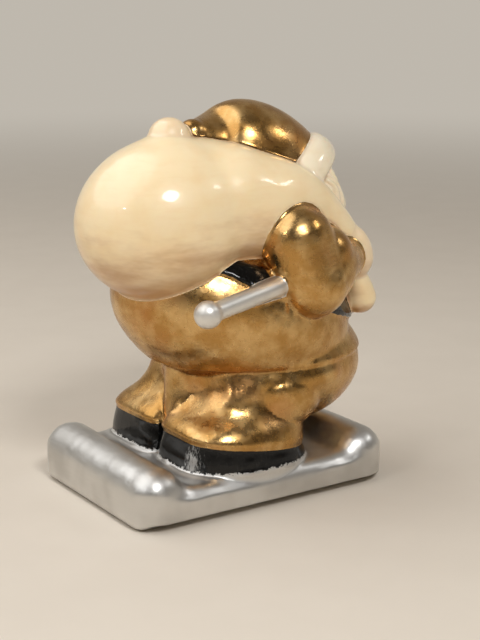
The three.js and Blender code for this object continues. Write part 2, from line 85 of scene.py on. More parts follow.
# Toboggan, from its node. Its rolls' ends get rounder from some way before its end.
SLED_LOW, SLED_HIGH = node_box("sled_base")
SLED_LENGTH = SLED_HIGH[0] - SLED_LOW[0]
SLED_WIDTH = SLED_HIGH[1] - SLED_LOW[1]
ROLL_HEIGHT = SLED_HIGH[2]
DECK_HEIGHT = 15.0
ROLL_RADIUS = 11.0
ROLL_FILLET = 10.0
SOLE_RADIUS = 4.0
SLED_EDGE = 6.0
ROLL_EDGE = 10.5
SOLE_EDGE = 3.0
SLED_CORNER = 12.0
ROLL_START, ROLL_BLEND = 30.0, 16.0
WALL = 4.0
HOLLOW_INSET = 12.0
VENT_RADIUS = 6.0
VENT_PLACE = vec(25, 0, 0)

# Boots, from their nodes. Their outer sides, left and right, are less square than the inner
# ones. The lip is clay that was pressed up round them.
BOOT_LOW, BOOT_HIGH = node_box("boot_left")
BOOT_LONG = BOOT_HIGH[0] - BOOT_LOW[0]
BOOT_WIDE = BOOT_HIGH[1] - BOOT_LOW[1]
BOOT_TOP = 24.5
BOOT_SLOPE = 8.0
BOOT_DRAFT = 2.0
BOOT_PLACE = {side: vec(BOOT_LOW[0] + BOOT_LONG / 2, side * BOOT_WIDE / 2, 0) for side in HANDS}
SQUARE = {1: 3.6, -1: 2.4}
INNER_SQUARE = 7.0
GAP_WIDE = 9.0
LIP_OUT, LIP_RISE = 1.6, 0.6

# Trousers and coat
CUFF_OVER = 1.0
KNEE_LONG = 44.0
KNEE_WIDE = 34.0
KNEE_PLACE = 8.0
HEM_HEIGHT = node_box("coat")[0][2]
HEM_STEP = 1.4
LAP_PLACE, LAP_ASIDE, LAP_DROP = 16.0, 25.0, 14.0
LAP_HALF = vec(18, 15.5, 14)
BELLY = vec(24, 0, HEM_HEIGHT - 6)
BELLY_HALF = vec(43, 39, 27)
LEAN = 20.0
BODY = vec(9, 0, HEM_HEIGHT + 18)
BODY_HALF = vec(54, 43, 34)
CHEST_AHEAD, CHEST_RISE = 15.0, 22.0
CHEST_HALF = vec(27, 36, 20)

# Belt and buckle
BELT_RISE = 15.0
BELT_WIDTH = 9.0
BELT_THICK = 1.6
BELT_RAGGED = 0.14
BELT_REACH = 90.0
HIP_RISE = 2.8
HIP_START, HIP_BLEND, HIP_ASIDE = -14, 15, 30
SLEEVE_STRIP = 2.8
BUCKLE_WIDE = 15.0
BUCKLE_TALL = 12.0
BUCKLE_BAR = 2.6
BUCKLE_THICK = 3.0
BUCKLE_CORNER = 2.0
BUCKLE_SINK = 1.0
BUCKLE_BEVEL = 0.5

# Head. Its middle is placed from the top of the chest.
HEAD_OVER = vec(4, -3, 14)
HEAD_RADIUS = 18.5
HEAD_TURN = -27.0
FACE_TURN = 20.0
NOSE_RADIUS = 4.2
EYE_RADIUS = 2.0
BEARD_RADIUS = 10.0
BEARD_LENGTH = 26.0
BROW_RADIUS = 1.7
MOUSTACHE_RADIUS = 4.0
CHEEK_RADIUS, CHEEK_SINK = 6.4, 4.2
LIP_RADIUS = 1.0
HAIR_STEP, HAIR_DEPTH = 8.5, 0.7

# Cap
CAP_WAIST = 22.5
CAP_REACH = 46.0
CAP_TIP_RADIUS = 6.0
CAP_TIP_RISE = 24.0
BRIM_WIDE = 13.0
BRIM_THICK = 7.0
BRIM_TILT = 43.0
BRIM_PLACE = -0.5
POMPOM_RADIUS = 8.5

# Sack. Its form is remeshed and softened by itself, which costs it a little of its size.
SACK_HALF = vec(36.5, 32, 31.5)
SACK_LEAN = -12.0
SACK_ASIDE = 6.0
SACK_BEARING = 150.0
SACK_SINK = 23.0
SADDLE_HALF = vec(22, 25, 21)
BED_PLACE, BED_HALF = vec(-2, -2, -5), vec(13, 13, 8.5)
NECK_RADIUS = 13.0
MOUTH_RADIUS = 7.0
SACK_GRAIN, SACK_SOFT, SACK_LOSS = 1.6, 40, 0.5

# Arms and staff. Places are forward, left and up of the leaning body's middle.
SHOULDER_PLACE = vec(-4.4, 36, 34)
ELBOW_PLACE = vec(6.5, 39, 20)
RIGHT_HAND_PLACE = vec(31, -27, 37)
LEFT_HAND_PLACE = vec(41, 22, 11)
STAFF_PLACE = vec(-41.5, -45, -3)
SLEEVE_RADIUS = 14.5
FOREARM_RISE = 2.0
WRIST_RADIUS = 9.0
MITTEN_RADIUS = 8.5
MITTEN_LONG = 25.0
MITTEN_LEAN = -25.0
THUMB_RADIUS = 3.4
STAFF_RADIUS = 3.8
KNOB_RADIUS = 5.5
STAFF_LENGTH = 44.0
STAFF_SLOPE = 8.8
STAFF_TURN = 7.6

# Marks in the clay: the depth and the half width of each. A depth below 0 raises a ridge.
TOOL_MARK = 0.6, 1.1
BOOT_LIP = -0.7, 1.3
SLEEVE_VALLEY = 1.1, 3.5
HEM_ROLL = -1.3, 4.5
SACK_CREASE = 0.5, 1.4

# Unevenness of the clay: the size and the depth of its waves. They calm down towards the top,
# and die out just above the flat underside.
LONG_WAVES, SHORT_WAVES, CRUMPLE_WAVES = (24, 0.1), (7, 0.025), (6, 0.2)
CALM_START, CALM_END, CALM_SHARE = HEM_HEIGHT + 30, HEM_HEIGHT + 55, 0.4
FLAT_HEIGHT, FLAT_BLEND = 1.5, 4
WAVE_COUNT = 14
CRUMPLE_PLACE, CRUMPLE_REACH = vec(-2, -41, 7), 8.0

AHEAD = way(0, -LEAN)
UPWARD = vec(-AHEAD[2], 0, AHEAD[0])


def on_body(forward, left, up):
    """A place seen from the middle of the leaning body."""
    return BODY + AHEAD * forward + UPWARD * up + vec(0, left, 0)


CHEST = on_body(CHEST_AHEAD, 0, CHEST_RISE)
HEAD = CHEST + (HEAD_OVER + vec(0, 0, CHEST_HALF[2]))
OPENING = way(HEAD_TURN, -BRIM_TILT)
CAP_TIP = HEAD + vec(-CAP_REACH * 0.98, 1, CAP_TIP_RISE)
POMPOM = CAP_TIP + vec(-CAP_TIP_RADIUS - POMPOM_RADIUS * 0.7, -2, -1)
SHOULDER = {side: on_body(*(SHOULDER_PLACE * vec(1, side, 1))) for side in HANDS}
ELBOW = {side: on_body(*(ELBOW_PLACE * vec(1, side, 1))) for side in HANDS}
HAND = {-1: on_body(*RIGHT_HAND_PLACE), 1: on_body(*LEFT_HAND_PLACE)}
STAFF_REAR = on_body(*STAFF_PLACE)
STAFF_WAY = way(STAFF_TURN, STAFF_SLOPE)
CRUMPLE = on_body(*CRUMPLE_PLACE)


def sack_middle():
    """The sack lies up behind the middle of the body, and sinks into the coat."""
    back, up = math.cos(math.radians(SACK_BEARING)), math.sin(math.radians(SACK_BEARING))
    coat = 1 / math.hypot(back / BODY_HALF[0], up / BODY_HALF[2])
    distance = coat + SACK_HALF[2] - SACK_SINK
    return on_body(distance * back, -SACK_ASIDE, distance * up)


SACK = sack_middle()


# Meshes

def new_object(name, data):
    obj = bpy.data.objects.new(name, data)
    bpy.context.scene.collection.objects.link(obj)
    return obj


def make_object(name, verts, faces):
    mesh = bpy.data.meshes.new(name)
    mesh.from_pydata(np.asarray(verts, float) * MM, [], faces)
    mesh.validate()
    return new_object(name, mesh)


def bands(rings):
    """Faces between closed rings of as many points each. The last band joins the last ring
    to the first one."""
    count, around = rings.shape[:2]
    faces = []
    for low in range(0, count * around, around):
        high = (low + around) % (count * around)
        for k in range(around):
            after = (k + 1) % around
            faces.append((low + k, low + after, high + after, high + k))
    return faces


def skin(rings, first, last):
    """Closed rings joined into a surface, with a point at each end."""
    rings = np.asarray(rings, float)
    around = rings.shape[1]
    verts = np.vstack([rings.reshape(-1, 3), [first], [last]])
    start, end = len(verts) - 2, len(verts) - 1
    faces = bands(rings)[:-around]
    for k in range(around):
        after = (k + 1) % around
        faces += [(start, after, k), (end, start - around + k, start - around + after)]
    return verts, faces


def capped(rings):
    """Closed rings joined into a surface with flat ends."""
    return skin(rings, rings[0].mean(axis=0), rings[-1].mean(axis=0))


def hoop(rings):
    """Closed rings joined in a circle."""
    rings = np.asarray(rings, float)
    return rings.reshape(-1, 3), bands(rings)


def leaning(points, degrees):
    """Points turned about the origin, so that their front leans down by some degrees."""
    return points @ np.array(Matrix.Rotation(math.radians(degrees), 3, "Y")).T


def rounded(long, wide, corner, steps):
    """The outline of a rectangle with round corners, as rows of two numbers."""
    points = []
    for quarter, (a, b) in enumerate(((1, 1), (-1, 1), (-1, -1), (1, -1))):
        for turn in np.linspace(0, math.pi / 2, steps):
            angle = quarter * math.pi / 2 + turn
            points.append((
                a * (long / 2 - corner) + corner * math.cos(angle),
                b * (wide / 2 - corner) + corner * math.sin(angle),
            ))
    return np.array(points)


def egg(centre, half, lean=0.0, grow=0.0, around=72):
    """An egg with three half-lengths, its front leaning down by some degrees."""
    half = np.asarray(half, float) + grow
    rings = []
    for height in np.linspace(0, math.pi, around // 2 + 1)[1:-1]:
        angle = np.linspace(0, 2 * math.pi, around, endpoint=False)
        ring = np.column_stack([
            np.sin(height) * np.cos(angle),
            np.sin(height) * np.sin(angle),
            np.full(around, -np.cos(height)),
        ])
        rings.append(centre + leaning(ring * half, lean))
    pole = leaning(vec(0, 0, half[2]), lean)
    return skin(rings, centre - pole, centre + pole)


def ball(centre, radius, grow=0.0, around=72):
    return egg(centre, np.full(3, radius), 0, grow, around)


def spline(stations, step):
    """Rows along a smooth curve through the given ones, about a step apart."""
    rows = np.array(stations, float)
    rows = np.vstack([2 * rows[0] - rows[1], rows, 2 * rows[-1] - rows[-2]])
    gaps = np.sqrt(np.linalg.norm(np.diff(rows[:, :3], axis=0), axis=1))
    fine = [rows[1]]
    for k in range(1, len(rows) - 2):
        before, start, end, after = rows[k - 1:k + 3]
        a, b, c = gaps[k - 1:k + 2]
        leave = b * ((start - before) / a - (end - before) / (a + b) + (end - start) / b)
        reach = b * ((end - start) / b - (after - start) / (b + c) + (after - end) / c)
        for t in np.linspace(0, 1, 25)[1:]:
            fine.append(
                (2 * t**3 - 3 * t**2 + 1) * start + (t**3 - 2 * t**2 + t) * leave
                + (3 * t**2 - 2 * t**3) * end + (t**3 - t**2) * reach)
    fine = np.array(fine)
    along = np.concatenate([[0], np.cumsum(np.linalg.norm(np.diff(fine[:, :3], axis=0), axis=1))])
    places = np.linspace(0, along[-1], max(int(along[-1] / step), 2) + 1)
    return np.column_stack([np.interp(places, along, fine[:, k]) for k in range(fine.shape[1])])


def limb(stations, grow=0.0, around=48, step=2.0, domes=(1.0, 1.0)):
    """A round limb through stations, each a place and a radius, with a dome on each end."""
    rows = spline([(*place, radius) for place, radius in stations], step)
    path, radii = rows[:, :3], rows[:, 3] + grow
    ahead = np.gradient(path, axis=0)
    ahead /= np.linalg.norm(ahead, axis=1)[:, None]
    across = np.cross(ahead[0], vec(0.31, 0.47, 0.83))
    angle = np.linspace(0, 2 * math.pi, around, endpoint=False)[:, None]
    rings = []

    def add_ring(k, offset, shrink):
        side = across - ahead[k] * (across @ ahead[k])
        side /= np.linalg.norm(side)
        other = np.cross(ahead[k], side)
        centre = path[k] + ahead[k] * offset * radii[k]
        rings.append(centre + shrink * radii[k] * (np.cos(angle) * side + np.sin(angle) * other))

    steps = np.radians([75, 60, 45, 30, 15])
    for turn in steps:
        add_ring(0, -domes[0] * math.sin(turn), math.cos(turn))
    for k in range(len(path)):
        add_ring(k, 0, 1)
    for turn in steps[::-1]:
        add_ring(-1, domes[1] * math.sin(turn), math.cos(turn))
    first = path[0] - ahead[0] * radii[0] * domes[0]
    last = path[-1] + ahead[-1] * radii[-1] * domes[1]
    return skin(rings, first, last)


def squared(value, power):
    """A sine or cosine bent so that the oval they trace gets squarer."""
    return np.sign(value) * np.abs(value) ** power


def stack(levels, side, grow=0.0, around=96):
    """Rounded sections, one above another: rows of x, y, z, length, width and slope."""
    rows = spline(levels, 1.0)
    angle = np.linspace(0, 2 * math.pi, around, endpoint=False)
    outer = side * np.sin(angle) > 0
    power = 2 / np.where(outer, SQUARE[side], INNER_SQUARE)
    rings = []
    for x, y, z, long, wide, slope in rows:
        ahead = (long / 2 + grow) * squared(np.cos(angle), power)
        across = (wide / 2 + grow) * squared(np.sin(angle), power)
        drop = ahead * math.tan(math.radians(slope))
        rings.append(np.column_stack([x + ahead, y + across, z - drop]))
    rings[0] = rings[0] - vec(0, 0, grow)
    rings[-1] = rings[-1] + vec(0, 0, grow)
    return capped(rings)


def block(low, high):
    """A plain block between two corners."""
    x, y, z = zip(low, high)
    verts = [vec(a, b, c) for a in x for b in y for c in z]
    faces = [(0, 1, 3, 2), (4, 6, 7, 5), (0, 4, 5, 1), (2, 3, 7, 6), (0, 2, 6, 4), (1, 5, 7, 3)]
    return np.array(verts), faces


def above(level):
    """All the space above a level."""
    return block(vec(-FAR, -FAR, level), vec(FAR, FAR, FAR))


def joined(*shells):
    """Several shells as one list of points and faces."""
    verts, faces, count = [], [], 0
    for shell_verts, shell_faces in shells:
        verts.append(shell_verts)
        faces.extend(tuple(index + count for index in face) for face in shell_faces)
        count += len(shell_verts)
    return np.vstack(verts), faces


# Tools on objects

def bake(obj):
    """Gives an object the mesh that its modifiers make."""
    shown = bpy.context.evaluated_depsgraph_get()
    mesh = bpy.data.meshes.new_from_object(obj.evaluated_get(shown))
    old = obj.data
    obj.modifiers.clear()
    obj.data = mesh
    bpy.data.meshes.remove(old)
    return obj


def drop(obj):
    mesh = obj.data
    bpy.data.objects.remove(obj)
    bpy.data.meshes.remove(mesh)


def boolean(obj, cutter, operation):
    step = obj.modifiers.new("step", "BOOLEAN")
    step.object = cutter
    step.operation = operation
    step.solver = "MANIFOLD"
    return bake(obj)


def combine(obj, other, operation):
    """A boolean that uses the other object up."""
    boolean(obj, other, operation)
    drop(other)
    return obj


def solid(*shells):
    """The union of closed shells, as an object."""
    base = make_object("solid", *shells[0])
    for shell in shells[1:]:
        combine(base, make_object("other", *shell), "UNION")
    return base


def remesh(obj, grain, passes):
    """Fuses overlapping shells into one skin of even grain, and softens its creases."""
    step = obj.modifiers.new("fuse", "REMESH")
    step.mode = "VOXEL"
    step.voxel_size = grain * MM
    soften = obj.modifiers.new("soften", "SMOOTH")
    soften.factor = 0.5
    soften.iterations = passes
    return bake(obj)


def rows_of(layer, key):
    """Three numbers for each item of a layer of a mesh."""
    flat = np.empty(len(layer) * 3, np.float32)
    layer.foreach_get(key, flat)
    return flat.reshape(-1, 3).astype(float)


def positions(obj):
    return rows_of(obj.data.vertices, "co") / MM


def set_positions(obj, points):
    obj.data.vertices.foreach_set("co", (points * MM).astype(np.float32).ravel())
    obj.data.update()


def normals(obj):
    return rows_of(obj.data.vertex_normals, "vector")


def mark(obj, name, values):
    """Keeps one number for each point, for the materials."""
    layer = obj.data.attributes.get(name) or obj.data.attributes.new(name, "FLOAT", "POINT")
    layer.data.foreach_set("value", np.asarray(values, np.float32))


def hollowness(obj, passes):
    """How far the surface lies below its smoothed self, in millimetres: large in creases."""
    points = positions(obj)
    edges = np.empty(len(obj.data.edges) * 2, np.int32)
    obj.data.edges.foreach_get("vertices", edges)
    ends = np.concatenate([edges.reshape(-1, 2), edges.reshape(-1, 2)[:, ::-1]])
    degree = np.bincount(ends[:, 0], minlength=len(points))[:, None]
    smooth = points.copy()
    for _ in range(passes):
        total = [np.bincount(ends[:, 0], smooth[ends[:, 1], k], len(points)) for k in range(3)]
        smooth = np.column_stack(total) / np.maximum(degree, 1)
    return ((smooth - points) * normals(obj)).sum(axis=1)


def waves(points, size, depth, seed):
    """The unevenness of hand-made clay: many long waves in random directions."""
    rng = np.random.default_rng(seed)
    ways = rng.normal(size=(WAVE_COUNT, 3))
    ways /= np.linalg.norm(ways, axis=1)[:, None]
    ways *= (2 * math.pi / size * rng.uniform(0.6, 1.6, WAVE_COUNT))[:, None]
    phases = rng.uniform(0, 2 * math.pi, WAVE_COUNT)
    return depth * np.sin(points @ ways.T + phases).sum(axis=1) / math.sqrt(WAVE_COUNT)


def carve(points, out, path, depth, width):
    """Presses a soft groove along a path into the surface, or raises a ridge for a depth below 0."""
    path = spline(path, width / 2)[:, :3]
    reach = 3 * width
    near = np.all((points > path.min(axis=0) - reach) & (points < path.max(axis=0) + reach), axis=1)
    gaps = np.full(near.sum(), np.inf)
    for place in path:
        gaps = np.minimum(gaps, np.linalg.norm(points[near] - place, axis=1))
    points[near] -= out[near] * (depth * np.exp(-(gaps / width) ** 2))[:, None]


# Main forms. Each is one closed shell or a few. Most can be grown, to cut along the border.

def sled_outline(inset):
    """The toboggan's side view: rolled up at both ends, with a round sole."""
    end = SLED_LENGTH / 2 - inset
    roll = ROLL_RADIUS - inset
    sole = max(SOLE_RADIUS - inset, 0.5)
    crest_x, crest_z = SLED_LENGTH / 2 - ROLL_RADIUS, ROLL_HEIGHT - ROLL_RADIUS
    fillet = ROLL_FILLET + inset
    level = DECK_HEIGHT + ROLL_FILLET
    across = math.sqrt((roll + fillet) ** 2 - (level - crest_z) ** 2)
    slope = math.asin((level - crest_z) / (roll + fillet))

    def arc(x, z, radius, start, stop, count):
        angle = np.linspace(start, stop, count)
        return np.column_stack([x + radius * np.cos(angle), z + radius * np.sin(angle)])

    half = np.vstack([
        arc(end - sole, min(inset, SOLE_EDGE) + sole, sole, -math.pi / 2, 0, 8),
        arc(crest_x, crest_z, roll, 0, math.pi - slope, 28),
        arc(crest_x - across, level, fillet, -slope, -math.pi / 2, 12)[1:],
    ])
    return np.vstack([half, (half * [-1, 1])[::-1]])


def sled_shell(grow=0.0):
    """The outline carried across the width. The rolls' ends are rounder than the deck's sides."""

    def ring(turn, edge):
        outline = sled_outline(edge * (1 - math.cos(turn)) - grow)
        y = SLED_WIDTH / 2 - edge + (edge + grow) * math.sin(turn)
        return np.column_stack([outline[:, 0], np.full(len(outline), -y), outline[:, 1]])

    rings = []
    for turn in np.radians(np.linspace(90, 0, 9)):
        deck, roll = ring(turn, SLED_EDGE), ring(turn, ROLL_EDGE)
        into_roll = np.abs(deck[:, 0]) - SLED_LENGTH / 2 + ROLL_START
        share = np.clip(into_roll / ROLL_BLEND, 0, 1)[:, None]
        rings.append(deck + (roll - deck) * share * share * (3 - 2 * share))
    rings += [ring * [1, -1, 1] for ring in rings[::-1]]
    inner = [ring + (ring.mean(axis=0) - ring) * 0.5 for ring in (rings[0], rings[-1])]
    return capped([inner[0], *rings, inner[1]])


def vent_shells():
    """The round hole under the toboggan, and the hollow above it that was poured out."""
    long, wide = SLED_LENGTH / 2 - HOLLOW_INSET, SLED_WIDTH / 2 - HOLLOW_INSET
    low, high = vec(-long, -wide, WALL), vec(long, wide, DECK_HEIGHT - WALL)
    hole = [(VENT_PLACE + vec(0, 0, z), VENT_RADIUS) for z in (-3, WALL + 2)]
    return [block(low, high), limb(hole, 0, 48, 2.0, (0.1, 0.1))]


def plan_corners():
    """An upright block with round corners, which gives the toboggan its plan."""
    plan = rounded(SLED_LENGTH, SLED_WIDTH, SLED_CORNER, 9)
    levels = (-5.0, ROLL_HEIGHT + 5.0)
    return capped([np.column_stack([plan, np.full(len(plan), z)]) for z in levels])


def leg_stack(side, rows, grow):
    """Sections of a leg: rows of the way to the knee, height, inset and share of the slope."""
    low, high = BOOT_PLACE[side], vec(KNEE_PLACE, side * KNEE_WIDE / 2, 0)
    levels = []
    for t, z, inset, slope in rows:
        x, y = (low + (high - low) * t)[:2]
        long = BOOT_LONG + (KNEE_LONG - BOOT_LONG) * t - 2 * inset
        wide = BOOT_WIDE + (KNEE_WIDE - BOOT_WIDE) * t - 2 * inset
        levels.append((x, y, z, long, wide, BOOT_SLOPE * slope))
    return stack(levels, side, grow)


def boot_shell(side, grow=0.0):
    return leg_stack(side, [
        (0, DECK_HEIGHT - 5, 0, 0),
        (0, DECK_HEIGHT + (BOOT_TOP - DECK_HEIGHT) * 0.35, 0, 0.3),
        (0, BOOT_TOP - 2, BOOT_DRAFT * 0.6, 0.8),
        (0, BOOT_TOP, BOOT_DRAFT, 1),
        (0, BOOT_TOP + 1, BOOT_DRAFT * 2.5, 1),
    ], grow)


def gap_shell(low, high, low_slope=BOOT_SLOPE):
    """What fills the narrow gap between the boots, or above it between the cuffs."""
    x = BOOT_PLACE[1][0]
    return stack([
        (x, 0, low, BOOT_LONG, GAP_WIDE, low_slope),
        (x, 0, high, BOOT_LONG, GAP_WIDE, BOOT_SLOPE),
    ], 1)


def leg_shell(side, grow=0.0):
    rise = HEM_HEIGHT - BOOT_TOP
    return leg_stack(side, [
        (0.0, BOOT_TOP - 1.5, BOOT_DRAFT + CUFF_OVER, 1.0),
        (0.0, BOOT_TOP, BOOT_DRAFT - CUFF_OVER, 1.0),
        (0.1, BOOT_TOP + rise * 0.15, BOOT_DRAFT - CUFF_OVER, 0.7),
        (0.5, BOOT_TOP + rise * 0.4, BOOT_DRAFT, 0.3),
        (0.85, BOOT_TOP + rise * 0.7, BOOT_DRAFT, 0.0),
        (1.0, HEM_HEIGHT, BOOT_DRAFT, 0.0),
        (1.0, HEM_HEIGHT + rise * 0.3, BOOT_DRAFT + KNEE_WIDE * 0.2, 0.0),
    ], grow)


def fold_shell():
    """Cloth between the legs at the back, which leaves only a shallow groove."""
    return limb([
        (vec(-17.5, -5.5, BOOT_TOP + 3), 8),
        (vec(-13, -1, HEM_HEIGHT - 14), 10),
        (vec(-8, 0, HEM_HEIGHT + 4), 13),
    ])


def lap_shells(grow=0.0):
    """Cloth over the hips, which fills the hollows between the legs and the belly."""
    middle = [vec(LAP_PLACE, side * LAP_ASIDE, HEM_HEIGHT - LAP_DROP) for side in HANDS]
    return [egg(place, LAP_HALF, 0, grow) for place in middle]


def belly_shell(grow=0.0):
    return egg(BELLY, BELLY_HALF, 0, grow)


def waist_shell(grow=0.0):
    return egg(BODY, BODY_HALF, LEAN, grow, 96)


def chest_shell(grow=0.0):
    return egg(CHEST, CHEST_HALF, LEAN, grow)


def coat_solid():
    coat = solid(waist_shell(), chest_shell(), belly_shell(HEM_STEP))
    return combine(coat, solid(above(HEM_HEIGHT)), "INTERSECT")


def wavy_slab(reach, step, low, high):
    """A slab whose underside and top follow two heights over x and y."""
    line = np.arange(-reach, reach + step, step)
    rings = []
    for x in line:
        under, over = (
            np.column_stack([np.full(len(line), x), line, height(x, line)]) for height in (low, high))
        rings.append(np.vstack([under, over[::-1]]))
    return capped(rings)


def belt_solid(grow=0.0, ragged=0.0):
    """The band round the waist. Its painted edge is ragged, and higher at the right hip."""
    half = BELT_WIDTH / 2 + grow

    def brush(x, y):
        return ragged * (np.sin(x * 0.9 + y * 0.5) + np.sin(y * 1.7 - x * 0.6))

    def low(x, y):
        hip = np.clip((HIP_START - x) / HIP_BLEND, 0, 1) * np.clip(-y / HIP_ASIDE, 0, 1)
        return brush(x, y) - half + HIP_RISE * hip

    def high(x, y):
        return brush(y, x) + half

    verts, faces = wavy_slab(BELT_REACH, 2.0, low, high)
    band = solid((leaning(verts, LEAN) + on_body(0, 0, BELT_RISE), faces))
    belt = solid(waist_shell(BELT_THICK + grow), chest_shell(BELT_THICK + grow))
    return combine(belt, band, "INTERSECT")


def painted_belt():
    """The part of the band that is painted black: it stops short of the right sleeve."""
    belt = belt_solid(CREASE * 0.4, BELT_RAGGED)
    return combine(belt, solid(*sleeve_shells(-1, SLEEVE_STRIP)), "DIFFERENCE")


def cap_shell(grow=0.0):
    return limb([
        (HEAD + OPENING * BRIM_PLACE, CAP_WAIST - 1.2),
        (HEAD - OPENING * CAP_REACH * 0.24, CAP_WAIST),
        (HEAD + vec(-CAP_REACH * 0.48, 4, CAP_REACH * 0.35), CAP_WAIST * 0.93),
        (HEAD + vec(-CAP_REACH * 0.78, 4, CAP_REACH * 0.42), CAP_WAIST * 0.62),
        (CAP_TIP, CAP_TIP_RADIUS),
    ], grow, 72, 2.0, (0.02, 1.0))


def brim_shell(grow=0.0, around=96, section=32):
    """The fur brim: a fat ring round the face."""
    side = np.cross(OPENING, vec(0, 0, 1))
    side /= np.linalg.norm(side)
    other = np.cross(OPENING, side)
    centre = HEAD + OPENING * BRIM_PLACE
    middle = HEAD_RADIUS + BRIM_THICK / 2
    angle = np.linspace(0, 2 * math.pi, around, endpoint=False)[:, None]
    out = np.cos(angle) * side + np.sin(angle) * other
    rings = []
    for turn in np.linspace(0, 2 * math.pi, section, endpoint=False):
        reach = middle + (BRIM_THICK / 2 + grow) * math.cos(turn)
        ahead = (BRIM_WIDE / 2 + grow) * math.sin(turn)
        rings.append(centre + out * reach + OPENING * ahead)
    return hoop(rings)


def pompom_shell(grow=0.0):
    return ball(POMPOM, POMPOM_RADIUS, grow)


def sack_shells():
    """The full bag, the saddle of its neck, the pompom's bed, and the neck down to the hand."""
    hand = HAND[-1]

    def between(share, left, rise):
        """A place on the way to the hand, moved left, and up by a share of the neck's radius."""
        return SACK + (hand - SACK) * share + vec(0, left, NECK_RADIUS * rise)

    return [
        egg(SACK, SACK_HALF + SACK_LOSS, SACK_LEAN, 0, 96),
        egg(between(0.3, -1, 1.05), SADDLE_HALF),
        egg(POMPOM + BED_PLACE, BED_HALF),
        limb([
            (SACK + vec(SACK_HALF[0] * 0.4, 0, SACK_HALF[2] * 0.13), SACK_HALF[2] * 0.87),
            (between(0.45, -2, 0.88), NECK_RADIUS * 1.75),
            (between(0.66, -1, 1.07), NECK_RADIUS * 1.3),
            (between(0.86, 0, 0.74), NECK_RADIUS * 0.8),
            (hand, MOUTH_RADIUS + SACK_LOSS),
        ], 0, 72),
    ]


def sack_form(grow=0.0):
    """The full sack as one soft form, with no crease where its parts meet."""
    sack = remesh(make_object("sack_form", *joined(*sack_shells())), SACK_GRAIN, SACK_SOFT)
    set_positions(sack, positions(sack) + normals(sack) * grow)
    return sack


def mouth_shell(grow=0.0):
    hand = HAND[-1]
    return limb([
        (hand + vec(1, 1, -MITTEN_LONG * 0.3), MOUTH_RADIUS * 0.6),
        (hand + vec(5, 2, -MITTEN_LONG * 0.62), MOUTH_RADIUS * 0.85),
        (hand + vec(7, 3, -MITTEN_LONG * 0.84), MOUTH_RADIUS),
    ], grow)


def sleeve_shells(side, grow=0.0):
    shoulder, elbow, hand = SHOULDER[side], ELBOW[side], HAND[side]
    forearm = elbow + (hand - elbow) * 0.36 + vec(0, 0, FOREARM_RISE)
    crook = (shoulder + elbow + 2 * forearm) / 4 + vec(2.5, 0, 2.5)
    return [
        limb([(shoulder, SLEEVE_RADIUS), (elbow, SLEEVE_RADIUS)], grow),
        limb([
            (elbow, SLEEVE_RADIUS * 0.98),
            (forearm, SLEEVE_RADIUS * 0.92),
            (elbow + (hand - elbow) * 0.69, WRIST_RADIUS * 1.1),
        ], grow),
        ball(crook, SLEEVE_RADIUS * 0.9, grow),
    ]


def mitten_shell(side, grow=0.0):
    return egg(HAND[side], vec(MITTEN_RADIUS, MITTEN_RADIUS, MITTEN_LONG / 2), MITTEN_LEAN, grow)


def thumb_shell(grow=0.0):
    """The left hand's thumb points up beside the buckle. The right one is behind the sack's neck."""
    return limb([
        (HAND[1] + vec(4, -3, 1), THUMB_RADIUS),
        (HAND[1] + vec(6.5, -6.5, 5), THUMB_RADIUS * 0.94),
        (HAND[1] + vec(6.5, -8, 9), THUMB_RADIUS * 0.82),
    ], grow, 32, 1.0)


def staff_shell(grow=0.0):
    return limb([(STAFF_REAR, STAFF_RADIUS), (STAFF_REAR + STAFF_WAY * STAFF_LENGTH, STAFF_RADIUS)],
                grow, 32)


def knob_shell(grow=0.0):
    return ball(STAFF_REAR, KNOB_RADIUS, grow, 48)


# Head

def on_head(azimuth, height, out=0.0):
    """A place on the head, seen from the face, and so far out of its surface."""
    return HEAD + way(HEAD_TURN + FACE_TURN + azimuth, height) * (HEAD_RADIUS + out)


def nose_shell(grow=0.0):
    half = vec(NOSE_RADIUS, NOSE_RADIUS * 1.1, NOSE_RADIUS)
    return egg(on_head(0, -7, 1.5), half, 0, grow, 48)


def strand(side, radius, rows):
    """Stations on the head: rows of azimuth, height, how far out, and share of the radius."""
    return [(on_head(side * turn, lift, out), radius * share) for turn, lift, out, share in rows]


def brow_shell(side, grow=0.0):
    rows = [(10, 16, 0, 1), (19, 20, 0, 1), (28, 16, 0, 0.7)]
    return limb(strand(side, BROW_RADIUS, rows), grow, 24, 0.8)


def moustache_shell(side, grow=0.0):
    rows = [(7, -19, 2, 0.7), (17, -24, 4, 1), (29, -24, 5, 0.75), (38, -17, 5, 0.3)]
    return limb(strand(side, MOUSTACHE_RADIUS, rows), grow, 32, 1.0)


def sideburn(side):
    rows = [(47, 15, -1.5, 0.44), (49, -4, -0.5, 0.56), (42, -22, 0, 0.8), (28, -42, -2, 1)]
    return strand(side, BEARD_RADIUS, rows)


def beard_shells(grow=0.0):
    chin = strand(1, BEARD_RADIUS, [(0, -54, -1.5, 1)])
    edge = [*sideburn(-1), *chin, *sideburn(1)[::-1]]
    point = strand(1, BEARD_RADIUS, [
        (0, -50, -2, 1.35), (0, -56, BEARD_LENGTH * 0.4, 1), (0, -60, BEARD_LENGTH * 0.75, 0.35),
    ])
    return [limb(edge, grow, 64, 1.0), limb(point, grow, 64, 1.0)]


def cheek_shell(side):
    return ball(on_head(side * 24, -11, -CHEEK_SINK), CHEEK_RADIUS, 0, 48)


def lip_shell():
    rows = [(-8, -31, 4.5, 1), (0, -33, 5.5, 1.7), (8, -31, 4.5, 1)]
    return limb(strand(1, LIP_RADIUS, rows), 0, 24, 0.6)


def eye_shell(side, grow=0.0):
    half = vec(EYE_RADIUS, EYE_RADIUS, EYE_RADIUS * 1.25)
    return egg(on_head(side * 19, 4, -EYE_RADIUS * 0.3), half, 0, grow, 48)


